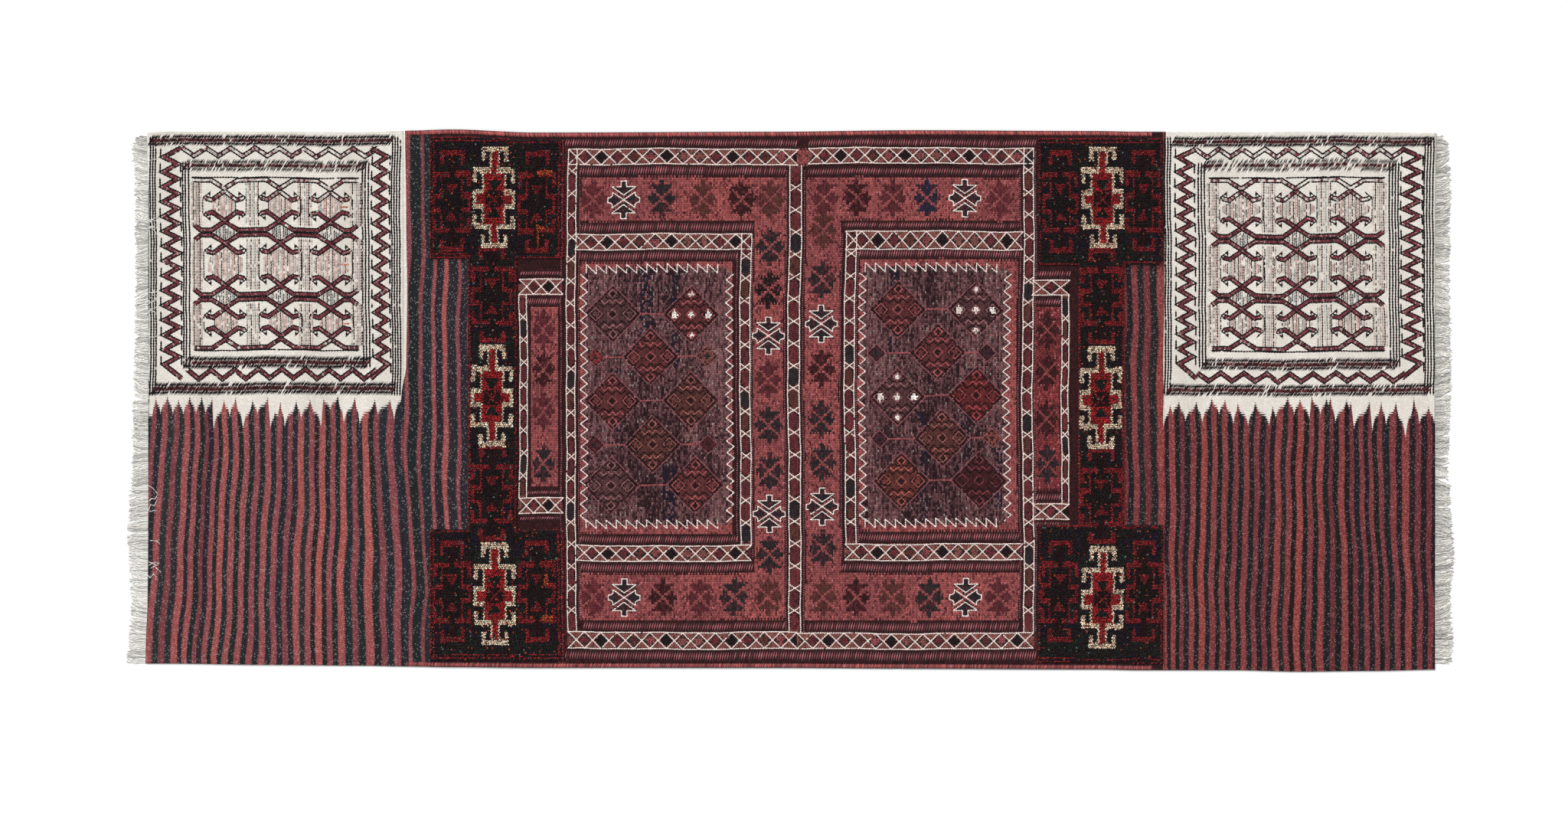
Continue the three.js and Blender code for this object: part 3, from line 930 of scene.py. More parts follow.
# Columns: centre X, centre Y, bright yarn, whether its small diamonds are white.
medallions = [
    (-333, 165, "plumLight", False), (-184, 162, "red", True), (-262, 83, "red", False),
    (-334, 0, "red", False), (-185, 0, "brown", False), (-259, -83, "brown", False),
    (-337, -160, "plumLight", False), (-178, -160, "red", False),
    (207, 172, "red", False), (354, 171, "plumLight", True), (283, 90, "red", False),
    (207, 7, "plumLight", True), (357, 9, "brick", False), (291, -72, "brown", False),
    (212, -152, "rust", False), (360, -152, "maroon", False),
]
medallionShape = {
    "reachX": 52.0, "reachY": 52.5,
    "beside": 32.0,  # to the middles of the small diamonds beside its middle
    "besideSize": 15.5, "middleSize": 9.5, "tipAt": 38.5,
}
smallDiamonds = [
    (-366, 83, "brick", 18), (-154, 84, "brown", 20), (-369, -83, "maroon", 19), (-154, -83, "maroon", 18),
    (167, 90, "plum", 18), (376, 91, "plum", 18), (172, -72, "plum", 17), (386, -71, "rust", 18),
]

# Columns: centre X, centre Y, yarn; a white one has its outline sewn in white.
stars = [
    (-373, 381, "redDeep"), (-315, 380, "white"), (-243, 381, "char"), (-166, 381, "umber"),
    (-92, 381, "maroonDark"), (-38, 381, "umber"), (-373, -373, "redDeep"), (-313, -373, "white"),
    (-240, -373, "maroonDark"), (-169, -373, "maroon"), (-105, -373, "char"), (-40, -373, "umber"),
    (-38, 291, "char"), (-38, 209, "black"), (-38, 122, "white"), (-38, 39, "maroon"), (-38, -48, "char"),
    (-38, -135, "char"), (-38, -216, "white"), (-38, -293, "char"),
    (64, 383, "maroon"), (126, 383, "maroonDark"), (194, 383, "maroon"), (259, 383, "navy"),
    (331, 383, "white"), (398, 383, "redDeep"),
    (64, -373, "umber"), (127, -373, "maroonDark"), (195, -373, "umber"),
    (265, -373, "char"), (333, -373, "white"), (395, -373, "maroon"), (62, 323, "umber"), (62, 230, "char"),
    (62, 146, "white"), (62, 61, "maroonDark"), (62, -35, "char"), (62, -117, "char"), (62, -201, "white"),
    (62, -280, "char"), (-467, 133, "maroon"), (-467, 58, "maroonDark"), (-467, -22, "maroon"),
    (-467, -120, "char"), (487, 133, "maroonDark"), (487, 54, "maroonDark"), (487, -35, "maroonDark"),
    (487, -120, "char"),
]
starShape = {
    "sideTo": 21.5, "sideSlope": 0.68, "tip": 30.0, "tipHalf": 4.8,
    "lobeFrom": 9.0, "lobeTo": 24.8, "lobeSlope": 1.42, "tab": 5.2, "tabTo": 35.5,
}


def starWidth(centreX, yarn):
    if abs(centreX) > 420:
        return 0.72
    return 1.0 if yarn == "white" else 0.86


def paintStar(colour, x, y, centreX, centreY, yarn):
    fromX = np.abs(x - centreX) / starWidth(centreX, yarn)
    fromY = np.abs(y - centreY)
    s = starShape
    lobe = (fromY > 5) & (fromY < s["lobeTo"] + 1) & (fromX < (fromY - 3) * 1.15)
    tab = (fromX < s["tab"]) & (fromY > s["lobeTo"] - 2) & (fromY < s["tabTo"])
    side = (fromX < s["sideTo"] + 2) & (fromX > 3) & (fromY < (fromX - 1) * s["sideSlope"])
    step = (fromX < s["tip"]) & (fromX > 8) & (fromY < s["tipHalf"])
    shape = lobe | tab | side | step
    colour[shape] = tone("char" if yarn == "white" else yarn)
    colour[shape & (draw.random(x.shape) < 0.2)] = tone("maroon")


def paintMedallion(colour, x, y, centreX, centreY, yarn, white):
    m = medallionShape
    dx, dy = x - centreX, y - centreY
    outer = np.abs(dx) / m["reachX"] + np.abs(dy) / m["reachY"]
    inside = outer < 1
    colour[inside] = tone(yarn, 0.38) + tone("maroonDark", 0.3)
    colour[inside & (outer > 0.92)] = tone("maroonBlack")
    for side in (-1, 1):
        rhomb = np.abs(dx - side * m["beside"]) / m["besideSize"] + np.abs(dy) / (m["besideSize"] * 1.08)
        colour[rhomb < 1] = tone("maroonBlack")
        colour[rhomb < 0.5] = tone("white") if white else tone(yarn, 0.6)
    heart = np.abs(dx) / m["middleSize"] + np.abs(dy) / m["middleSize"]
    colour[heart < 0.75] = tone("white") if white else tone("maroonBlack")
    for up in (-1, 1):
        tip = np.abs(dx) + np.abs(dy - up * m["tipAt"])
        colour[tip < 6] = tone("white") if white else tone("maroonBlack")


def triangleWave(value, pitch, reach):
    phase = np.mod(value / pitch, 1.0)
    return reach * (4 * np.abs(phase - 0.5) - 1)


columnShade = draw.random(2000)


def paintField(colour, x, y, field):
    look = fieldLook
    left = field["left"] + triangleWave(y - field["low"] - 4, zigzag["pitch"], zigzag["reach"])
    right = field["right"] - triangleWave(y - field["low"] - 4, zigzag["pitch"], zigzag["reach"])
    inside = (x > left) & (x < right) & (y > field["low"] - 2) & (y < field["high"] + 2)
    # Every column of stitches changes its yarn in runs.
    column = np.floor((x + 1000) / wrapping["pitchX"]).astype(int)
    run = np.floor((y + 60 * columnShade[column] + 600) / look["runLength"]).astype(int)
    runShade = columnShade[(column * 37 + run * 11) % len(columnShade)]
    fromMiddle = np.abs(x - (field["left"] + field["right"]) / 2) / look["halfWidth"]
    clouds = look["byEdge"] * (fromMiddle - look["palerOutside"])
    clouds = clouds + 0.12 * np.sin(x / 13) * np.sin(y / 47) + 0.1 * np.sin(y / 80)
    shade = clouds + look["byColumn"] * columnShade[column] + look["byRun"] * runShade
    shade = np.clip(shade + draw.normal(-0.06, look["byStitch"], x.shape), 0, 1)[:, None]
    ground = tone("plum", look["dark"]) * (1 - shade) + tone("plumLight", look["pale"]) * shade
    ground = ground * field["light"]
    fleckShare = look["flecks"] + look["moreFlecks"] * (shade[:, 0] > 0.85)
    pale = inside & (draw.random(x.shape) < fleckShare)
    colour[inside] = ground[inside]
    colour[pale] = tone("beige", 0.42)
    for left, right, low, high in field["patches"]:
        patch = inside & inBox(x, y, left, right, low, high) & (draw.random(x.shape) < look["patchFull"])
        colour[patch & (shade[:, 0] < 0.7)] = tone("navy", 0.6)


def diamondRow(left, right, sequence):
    count = max(2, round((right - left) / 30.6))
    pitch = (right - left) / count
    return [(left + pitch * index, pitch / 2, sequence[index % len(sequence)]) for index in range(count + 1)]


bandSequence = ["brown", "redDeep", "black", "redDeep", "umber", "red", "black", "brown"]
columnSequence = ["maroon", "redDeep", "char", "umber", "maroon", "redDeep"]
hexagonPitch = 42.5


def paintBand(colour, x, y, left, right, low, high):
    inside = inBox(x, y, left, right, low, high)
    colour[inside] = tone("brown")
    middle, half = (low + high) / 2, (high - low) / 2
    for centreX, pitchHalf, yarn in diamondRow(left, right, bandSequence):
        share = np.abs(x - centreX) / pitchHalf + np.abs(y - middle) / half
        colour[inside & (share < 0.88)] = tone("char")
        colour[inside & (share < (0.8 if yarn == "black" else 0.66))] = tone(yarn)


def paintColumn(colour, x, y, left, right, low, high):
    inside = inBox(x, y, left, right, low, high)
    colour[inside] = tone("brown", 0.7)
    middle, half = (left + right) / 2, (right - left) / 2
    count = max(1, round((high - low) / hexagonPitch))
    pitch = (high - low) / count
    for index in range(count):
        centreY = low + pitch * (index + 0.5)
        taper = np.clip((pitch / 2 - 2 - np.abs(y - centreY)) / 8.0, 0, 1)
        colour[inside & (np.abs(x - middle) < taper * half)] = tone("maroonBlack")
        yarn = columnSequence[(index * 5 + int(abs(left))) % len(columnSequence)]
        colour[inside & (np.abs(x - middle) < taper * (half - 2.6)) & (taper > 0.3)] = tone(yarn)


def paintMiddle(x, y):
    colour = np.tile(tone("maroonDark"), (len(x), 1))
    for kind, left, right, low, high in everyZone:
        inside = inBox(x, y, left, right, low, high)
        if kind == "band":
            paintBand(colour, x, y, left, right, low, high)
            continue
        if kind == "column":
            paintColumn(colour, x, y, left, right, low, high)
            continue
        first, second = zoneTones[kind]
        shade = draw.random(len(x))[:, None] ** 2
        if kind in ("red", "deep"):
            slow = 0.45 + 0.3 * np.sin(x / 61 + y / 97) + 0.2 * np.sin(y / 23 - x / 41)
            shade = np.clip(slow + draw.normal(0, 0.3, x.shape), 0, 1)[:, None]
        mixed = tone(first) * (1 - shade) + tone(second) * shade
        colour[inside] = mixed[inside]
        if kind in ("red", "deep"):
            colour[inside & (draw.random(x.shape) < 0.05)] = tone("pink")
            colour[inside & (draw.random(x.shape) < 0.09)] = tone("maroon")
    for field in fields:
        paintField(colour, x, y, field)
    for row in medallions:
        paintMedallion(colour, x, y, *row)
    for centreX, centreY, yarn, reach in smallDiamonds:
        colour[inDiamond(x, y, centreX, centreY, reach, reach)] = tone("maroonBlack")
        colour[inDiamond(x, y, centreX, centreY, reach * 0.8, reach * 0.8)] = tone(yarn, 0.8)
        colour[inDiamond(x, y, centreX, centreY, reach * 0.32, reach * 0.32)] = tone("char")
    for centreX, centreY, yarn in stars:
        paintStar(colour, x, y, centreX, centreY, yarn)
    return colour


def wrappedGrid(left, right):
    columns = np.arange(left + wrapping["pitchX"] / 2, right, wrapping["pitchX"])
    lines = np.arange(-512, 516, wrapping["pitchY"])
    x, y = np.meshgrid(columns, lines)
    number = np.tile(np.arange(len(columns)), (len(lines), 1))
    y = y + (number % 2) * wrapping["pitchY"] / 2
    x, y, number = x.ravel(), y.ravel(), number.ravel()
    leftBand, rightBand = pileBands
    beyond = (x < leftBand["columnRight"]) | (x > rightBand["columnLeft"])
    keep = (inFromSide(x, y) > levels["rimWidth"] - 1) & (pileShare(x, y) < 0.4) & ~beyond
    return x[keep], y[keep], number[keep]


def wrappedPiece(name, left, right):
    x, y, number = wrappedGrid(left, right)
    driftX, driftY = drift(x, y)
    colour = paintMiddle(x + driftX, y + driftY)
    work = newWork()
    up = np.where(number % 2 == 0, 1, -1)
    turn = up * (math.pi / 2 + wrapping["slant"]) + draw.normal(0, wrapping["unevenSlant"], len(x))
    size = (wrapping["reach"], wrapping["width"], wrapping["height"])
    x = x + draw.normal(0, wrapping["wander"], len(x))
    z = groundHeight(x, y) - 0.1
    # A three-sided stitch reaches further one way than the other, and shift brings its middle to its place.
    addStitches(work, x, y - up * wrapping["shift"], z, size, turn, colour, wrapping["uneven"])
    return sewnPiece(name, work, "wrapping", corners=3)


wrappedPieces = [
    wrappedPiece("wrapping_left", -518.4, -215.0),
    wrappedPiece("wrapping_middle_left", -215.0, 0.0),
    wrappedPiece("wrapping_middle_right", 0.0, 236.0),
    wrappedPiece("wrapping_right", 236.0, 544.5),
]


# White outlines, lattices, hatching and stars, sewn over the wrapping

# Overlap is a stitch's length as a share of the pitch, and worn is the share of stitches that are gone.
outline = {
    "pitch": 4.2, "width": 2.6, "height": 1.1, "lift": 0.6, "overlap": 1.7, "uneven": 0.1, "worn": 0.02}
faintLine = dict(outline, width=2.6, lift=0.65, height=0.9, worn=0.06, uneven=0.2)
boldLine = dict(outline, width=4.2, lift=0.6, height=0.95, worn=0.0, uneven=0.2)
curlLine = dict(outline, width=3.0, lift=0.7, height=0.85, worn=0.0, uneven=0.25)
hatching = {"pitch": 4.6, "width": 3.0, "height": 0.9, "lift": 0.9, "lean": 4.0, "margin": 1.5}


def sewBand(work, left, right, low, high):
    white = tone("white")
    for y in (low, high):
        sewPath(work, [(left, y), (right, y)], outline, white)
    row = diamondRow(left, right, bandSequence)
    for (fromX, _, _), (toX, _, _) in zip(row, row[1:]):
        sewPath(work, [(fromX, low), (toX, high)], outline, white)
        sewPath(work, [(fromX, high), (toX, low)], outline, white)


def sewColumn(work, left, right, low, high):
    white = tone("white")
    for x in (left, right):
        sewPath(work, [(x, low), (x, high)], outline, white)
    count = max(1, round((high - low) / hexagonPitch))
    pitch = (high - low) / count
    for index in range(1, count):
        crossY = low + pitch * index
        for rise in (7, -7):
            sewPath(work, [(left, crossY - rise), (right, crossY + rise)], outline, white)


def sewHatch(work, left, right, low, high):
    h = hatching
    count = round((right - left) / h["pitch"])
    x = left + (right - left) * (np.arange(count) + 0.5) / count
    tall = high - low - 2 * h["margin"]
    y = np.full(count, (low + high) / 2)
    x, y = drifted(x, y)
    z = groundHeight(x, y) + h["lift"]
    size = (math.hypot(h["lean"], tall) / 2, h["width"] / 2, h["height"])
    addStitches(work, x, y, z, size, math.atan2(tall, h["lean"]), tone("pink", 0.66), 0.3)


seam = {"pitch": 4.3, "margin": 3, "lift": 0.8, "size": (1.7, 1.2, 1.0), "turn": 0.9}


# A narrow row of short pink stitches on black, as along the upright lattices.
def sewSeam(work, left, right, low, high):
    y = np.arange(low + seam["margin"], high - seam["margin"], seam["pitch"])
    x = np.full(len(y), (left + right) / 2)
    x, y = drifted(x, y)
    z = groundHeight(x, y) + seam["lift"]
    addStitches(work, x, y, z, seam["size"], seam["turn"], tone("pink", 0.9), 0.3)


def sewStar(work, centreX, centreY):
    s = starShape
    white = tone("white")
    sideX, tip, tipHalf = s["sideTo"], s["tip"], s["tipHalf"]
    high = sideX * s["sideSlope"]
    wide = (s["lobeTo"] - s["lobeFrom"]) * s["lobeSlope"]
    for up in (1, -1):
        lobe = [
            (0, s["lobeFrom"]), (wide, s["lobeTo"]), (s["tab"], s["lobeTo"]), (s["tab"], s["tabTo"]),
            (-s["tab"], s["tabTo"]), (-s["tab"], s["lobeTo"]), (-wide, s["lobeTo"]),
        ]
        sewPath(work, [(centreX + px, centreY + up * py) for px, py in lobe], outline, white, True)
        arm = [(-sideX, -up * high), (sideX, up * high)]
        sewPath(work, [(centreX + px, centreY + py) for px, py in arm], outline, white)
        flank = [
            (sideX, high), (sideX, 8), (tip - 4, tipHalf), (tip, tipHalf),
            (tip, -tipHalf), (tip - 4, -tipHalf), (sideX, -8), (sideX, -high),
        ]
        sewPath(work, [(centreX + up * px, centreY + py) for px, py in flank], outline, white)


def sewCross(work, centreX, centreY, yarn):
    reachX, reachY = 21.0 * starWidth(centreX, yarn), 18.0
    for up in (1, -1):
        arm = [(centreX - reachX, centreY - up * reachY), (centreX + reachX, centreY + up * reachY)]
        sewPath(work, arm, faintLine, tone("red", 0.9))


def sewField(work, field):
    white = tone("white")
    left, right, low, high = field["left"], field["right"], field["low"], field["high"]
    steps = int((high - low) / (zigzag["pitch"] / 2))
    for edge, sign in ((left, 1), (right, -1)):
        points = []
        for index in range(steps):
            reach = -zigzag["reach"] if index % 2 else zigzag["reach"]
            points.append((edge + sign * reach, low + 4 + index * zigzag["pitch"] / 2))
        sewPath(work, points, outline, white)
    teeth = int((right - left) / zigzag["toothPitch"])
    for edge, sign in ((high, 1), (low, -1)):
        points = []
        for index in range(teeth):
            x = left + 4 + index * zigzag["toothPitch"]
            points += [(x, edge + sign * zigzag["toothHigh"]), (x, edge - sign * zigzag["toothLow"])]
            if sign > 0:
                points[-2:] = points[-2:][::-1]
        sewPath(work, points, outline, white)


def sewMedallion(work, centreX, centreY, yarn):
    m = medallionShape
    bright, dark = tone(yarn) + tone("red", 0.22), tone("maroonBlack", 0.5)
    sewDiamond(work, centreX, centreY, m["reachX"] * 1.05, m["reachY"] * 1.05, faintLine, tone("pink", 0.6))
    for side in (-1, 1):
        size = m["besideSize"] * 0.8
        sewDiamond(work, centreX + side * m["beside"], centreY, size, size, faintLine, bright)
    sewDiamond(work, centreX, centreY, m["middleSize"], m["middleSize"], faintLine, bright)
    tip = m["tipAt"]
    curls = [
        (dark, [(-25, 20), (-17, 13), (-9, 21), (0, 13), (9, 21), (17, 13), (25, 20)]),
        (bright, [(-21, 26), (-14, 19), (-6, 27), (0, 20), (6, 27), (14, 19), (21, 26)]),
        (dark, [(-14, 34), (-7, 28), (0, 33), (7, 28), (14, 34)]),
        (bright, [(-8, tip), (0, tip + 8), (8, tip), (0, tip - 8), (-8, tip)]),
    ]
    for up in (-1, 1):
        for yarnTone, curl in curls:
            points = [(centreX + px, centreY + up * py) for px, py in curl]
            sewPath(work, points, curlLine, yarnTone)


# The rims of the small diamonds, and the red lines that link neighbours in a row of a field.
def sewLinks(work):
    shortestLink, rowPitch = 4, 60
    linked = [(centreX, centreY, medallionShape["reachX"]) for centreX, centreY, _, _ in medallions]
    linked += [(centreX, centreY, reach) for centreX, centreY, _, reach in smallDiamonds]
    rowsOf = {}
    for row in linked:
        rowsOf.setdefault((row[0] > 0, round(row[1] / rowPitch)), []).append(row)
    for centreX, centreY, _, reach in smallDiamonds:
        sewDiamond(work, centreX, centreY, reach, reach, faintLine, tone("pink", 0.6))
    for row in rowsOf.values():
        row.sort()
        for (fromX, fromY, fromReach), (toX, toY, toReach) in zip(row, row[1:]):
            if toX - toReach - fromX - fromReach < shortestLink:
                continue
            points = [(fromX + fromReach, fromY), (toX - toReach, toY)]
            sewPath(work, points, boldLine, tone("red"))


def outlinesPiece():
    work = newWork()
    sewZone = {"band": sewBand, "column": sewColumn, "hatch": sewHatch, "seam": sewSeam}
    for kind, left, right, low, high in everyZone:
        if kind in sewZone:
            sewZone[kind](work, left, right, low, high)
    for centreX, centreY, yarn in stars:
        if yarn == "white":
            sewStar(work, centreX, centreY)
        else:
            sewCross(work, centreX, centreY, yarn)
    for field in fields:
        sewField(work, field)
    for centreX, centreY, yarn, _ in medallions:
        sewMedallion(work, centreX, centreY, yarn)
    sewLinks(work)
    return sewnPiece("outline_stitches", work, "outline")


outlinesObject = outlinesPiece()


# The knotted pile

pile = {
    "pitchX": 3.6, "pitchY": 3.2,  # about one tuft for each knot
    "length": 3.7, "width": 4.3,
    "tip": 0.5,  # a tuft's width at its cut end, as a share of its root
    "lean": 0.3, "unevenLean": 0.16,
    "sunk": 0.4,
    "uneven": 0.36,  # in shade
}

# Half of the hooked figure of the pile, mirrored left and right and up and down. Columns: nearest and
# furthest from the middle along X, then along Y.
figureLines = [
    (0, 25.5, 86, 96.5), (17.5, 25.5, 70, 96.5), (5.4, 9.6, 57, 88), (5.4, 40, 48, 58.5), (32, 40, 30, 58.5),
    (19, 23, 17, 50), (19, 40, 8.8, 18.6), (33.5, 40, 0, 18.6),
]
figureHeart = [(0, 19.2, 0, 48.5), (0, 33.5, 0, 8.9), (0, 5.5, 48, 86.5)]


def paintFigure(colour, x, y, kind, centreX, centreY, narrow, short):
    ivory = kind == "ivory"
    fromX = np.abs(x - centreX) / narrow
    up = y - centreY
    fromY = np.where(up > 0, up / 1.05, -up / 0.95) / short  # the upper half is a little longer
    heartTone = tone("crimson") if ivory else tone("pileBlack", 0.8)
    lineTone = tone("bone") if ivory else tone("garnet")
    for near, far, low, high in figureHeart:
        colour[(fromX >= near) & (fromX < far) & (fromY >= low) & (fromY < high)] = heartTone
    for near, far, low, high in figureLines:
        colour[(fromX >= near) & (fromX < far) & (fromY >= low) & (fromY < high)] = lineTone
    middle = (fromX < 16) & (fromY < 15)
    cross = middle & (np.abs(fromX - fromY) < 2.3)
    triangle = (fromY > 16) & (fromY < 35) & (fromX < (fromY - 15) * 0.7)
    if ivory:
        colour[middle] = tone("maroonBlack")
        colour[cross] = tone("garnet")
        colour[triangle] = tone("green", 0.8)
    else:
        colour[(fromX < 9.6) & (fromY > 57) & (fromY < 86)] = tone("maroonBlack")
        colour[triangle] = tone("garnet", 0.8)


# Figures: kind, middle, and how far they are squeezed along X and along Y. Borders and faded places:
# left, right, low, high.
pilePatterns = [
    {
        "figures": [
            ("dark", -641, 372, 0.91, 1.0), ("dark", -480, 372, 0.9, 1.0),
            ("dark", -641, -366, 0.91, 1.0), ("dark", -480, -366, 0.9, 1.0),
            ("dark", -565, 195, 1.0, 0.95), ("dark", -565, -179, 1.0, 0.95),
            ("ivory", -561, 380, 1.0, 1.0), ("ivory", -566, 4, 1.0, 1.0), ("ivory", -560, -370, 1.0, 1.0),
        ],
        "borders": [
            (-683, -426, 495, 499), (-678, -432, 489, 492), (-683, -426, -489, -486),
            (-678, -432, -483, -480), (-684, -681, -489, 499), (-678, -675, -483, 492),
            (-440, -436, -483, 492), (-432, -428, -489, 499), (-684, -605, 269, 273),
            (-678, -610, 275, 278), (-684, -605, -249, -246), (-611, -607, -250, 273),
            (-522, -518, -250, 273), (-522, -428, 269, 272), (-522, -428, -247, -244),
        ],
        "faded": [
            (-479, -450, 427, 438), (-479, -465, 323, 332), (-480, -476, 282, 335),
            (-470, -450, -420, -408), (-466, -458, -350, -330),
        ],
    },
    {
        "figures": [
            ("dark", 511, 372, 0.85, 1.0), ("dark", 668, 372, 0.85, 1.0),
            ("dark", 509, -366, 0.87, 1.0), ("dark", 668, -366, 0.85, 1.0),
            ("dark", 588, 194, 1.0, 0.95), ("dark", 588, -184, 1.0, 0.95),
            ("ivory", 591, 380, 1.0, 1.0), ("ivory", 588, 2, 1.0, 1.0), ("ivory", 590, -376, 1.0, 1.0),
        ],
        "borders": [
            (469, 704, 486, 490), (469, 704, 494, 497), (469, 704, -490, -487), (469, 704, -497, -494),
            (470, 473, -490, 490), (700, 703, -490, 490), (630, 704, 259, 263),
            (630, 704, -241, -238), (628, 632, -240, 262), (545, 548, -240, 262), (469, 548, 258, 261),
            (469, 548, -238, -235),
        ],
        "faded": [],
    },
]


def paintPile(x, y):
    mix = draw.random(len(x))
    colour = np.tile(tone("pileBlack"), (len(x), 1))
    patches = np.sin(x / 19 + y / 47) + np.sin(y / 13)
    colour[(mix > 0.55) & (patches > 0)] = tone("green")
    colour[(mix > 0.6) & (patches <= 0)] = tone("navy", 0.6)
    for pattern in pilePatterns:
        for figure in pattern["figures"]:
            paintFigure(colour, x, y, *figure)
        for box in pattern["borders"]:
            colour[inBox(x, y, *box)] = tone("garnet", 0.9)
        for box in pattern["faded"]:
            colour[inBox(x, y, *box)] = tone("orange")
    stray = draw.random(len(x))
    colour[stray > 0.985] = tone("slate", 0.5)
    colour[stray < 0.02] = tone("orange", 0.7)
    return colour


def pilePiece(name, band):
    columns = np.arange(band["left"] + 1, band["right"], pile["pitchX"])
    lines = np.arange(-500, 503, pile["pitchY"])
    x, y = np.meshgrid(columns, lines)
    number = np.tile(np.arange(len(lines))[:, None], (1, len(columns)))
    x = (x + (number % 2) * pile["pitchX"] / 2).ravel() + draw.normal(0, 0.3, x.size)
    y = y.ravel() + draw.normal(0, 0.25, y.size)
    keep = pileShare(x, y) > 0.9
    x, y = x[keep], y[keep]
    driftX, driftY = drift(x, y)
    colour = paintPile(x + driftX, y + driftY)
    work = newWork()
    tilt = np.zeros((len(x), 3))
    tilt[:, 0] = pile["lean"] + draw.normal(0, pile["unevenLean"], len(x))
    tilt[:, 1] = draw.normal(0, pile["unevenLean"], len(x))
    tilt[:, 2] = draw.random(len(x)) * 2.0
    size = (pile["width"] / 2, pile["width"] / 2, pile["length"])
    z = groundHeight(x, y) - pile["sunk"]
    addStitches(work, x, y, z, size, tilt, colour * band["light"], pile["uneven"])
    return sewnPiece(name, work, "pile", corners=3, tip=pile["tip"], uneven=0.1, seed=5)


pilePieces = [pilePiece("pile_left", pileBands[0]), pilePiece("pile_right", pileBands[1])]


# The ivory panels: wrapped black and maroon yarn over the ivory weave

blackLine = {
    "pitch": 5.2, "width": 3.6, "height": 0.8, "lift": 0.05, "overlap": 1.7, "uneven": 0.3, "worn": 0.04}
thinLine = dict(blackLine, width=2.8, worn=0.12)
edgeLine = dict(blackLine, width=3.9, overlap=2.3, worn=0.02)
bandEdge = dict(blackLine, width=3.8, overlap=2.3, worn=0.02)
frayedThread = dict(blackLine, pitch=3.5, width=1.6, lift=0.4, overlap=2.2, worn=0.0)
fillLine = dict(blackLine, width=4.6, worn=0.04, uneven=0.2)
coreLine = dict(blackLine, pitch=3.2, width=6.4, overlap=2.5, worn=0.1, uneven=0.35)
flecks = dict(blackLine, pitch=5.0, width=2.4, lift=0.35, worn=0.55)
edgeReach = 3.5  # from the middle of a banded line to its black edges

# Outer and inner lines: places along X. Hatches: left, right, low, high, how full. Zigzags: ends, middle,
# reach, number of waves, share of the core worn away. Uprights: middle and reach of a column of turns.
# Bundles: first and last of seven lines, all warm but the one that is grey. Lozenge reaches: of the
# short and the long ones. Dashes: start, stop, yarn. Frays: loose threads along the left edge. Frame:
# left, right, low, high. Columns and rows: middles of the lozenges along X, and between them along Y.
panels = {
    "left": {
        "outer": [-1212.0, -1207.0, -1202.4, -754.6, -749.8, -745.0, -739.8],
        "inner": [-1150.0, -1145.2, -1138.8, -809.8, -804.5, -798.4],
        "hatches": [(-1213, -755, 482, 503, 1.0), (-1147, -804, 433, 456, 0.75), (-1147, -800, 60, 84, 1.0),
                    (-1207, -749, 11, 35, 1.0)],
        "zigzags": [(-1153, -783, 470, 7.5, 8, 0.75), (-1143, -786, 50, 8.5, 8, 0.04)],
        "uprights": [(-1173.5, 13.5), (-775.5, 11.0)],
        "bundles": [(-1133, -1116), (-1030, -1007), (-931, -907), (-832, -809)],
        "greyBundle": 1,
        "lozengeReach": (24, 34),
        "lozengeYarns": ["rose", "slate", "beige", "rose", "brown", "beige", "char", "rose", "beige"],
        "dashes": [(-852, y, -837, y, "orange") for y in (367, 258, 146)],
        "frays": [
            458, 347, 341, 335, 328, 322, 207, 201, 195, 189, 176, 169, 123,
            -172, -186, -199, -208, -266, -306, -312, -320, -329,
        ],
        "frame": (-1133, -816, 97, 421),
        "columns": [-1071, -966.5, -870.5],
        "rows": [318, 196],
    },
    "right": {
        "outer": [709.8, 714.9, 719.9, 1201.0, 1206.3, 1211.8, 1217.5],
        "inner": [773.6, 779.4, 785.2, 1135.3, 1141.0, 1146.6, 1152.0],
        "hatches": [(724, 1214, 480, 501, 1.0), (781, 1148, 433, 458, 0.65), (781, 1148, 57, 80, 0.95),
                    (716, 1211, 8, 31, 0.95)],
        "zigzags": [(768, 1160, 469, 7.5, 9, 0.75), (771, 1163, 44, 7.5, 9, 0.04)],
        "uprights": [(748, 12.5), (1177.5, 14.5)],
        "bundles": [(791, 811), (894, 918), (998, 1024), (1105, 1129)],
        "greyBundle": 2,
        "lozengeReach": (36, 38),
        "lozengeYarns": ["rose", "black", "beige", "char", "rose", "brown", "black", "beige", "slate"],
        "dashes": [], "frays": [],
        "frame": (794, 1127, 95, 421),
        "columns": [855, 958, 1062],
        "rows": [306, 194],
    },
}


usualWear = 0.04


def sewBanded(work, points, worn=usualWear):
    sewPath(work, points, dict(coreLine, worn=worn), tone("maroon", 1.3))
    sewPath(work, points, dict(flecks, worn=0.74 - worn / 4), tone("rose", 0.8))
    for sign in (-1, 1):
        sewPath(work, besidePath(points, sign * edgeReach), bandEdge, tone("black"))


# Slanted stitches: black along both edges, maroon between them, and flecks of other yarns over it.
# Columns: middle and reach as shares of the height, width, yarn, how many of the stitches are there.
panelHatch = [
    (0.2, 0.3, 3.0, "black", 1.0), (0.8, 0.3, 3.0, "black", 1.0), (0.5, 0.3, 4.2, "maroonDark", 1.0),
    (0.5, 0.4, 2.4, "black", 0.45), (0.5, 0.3, 2.4, "redDeep", 0.4), (0.55, 0.24, 1.8, "rose", 0.15),
]


panelHatchPitch = 3.1
panelHatchTurn = math.radians(60)


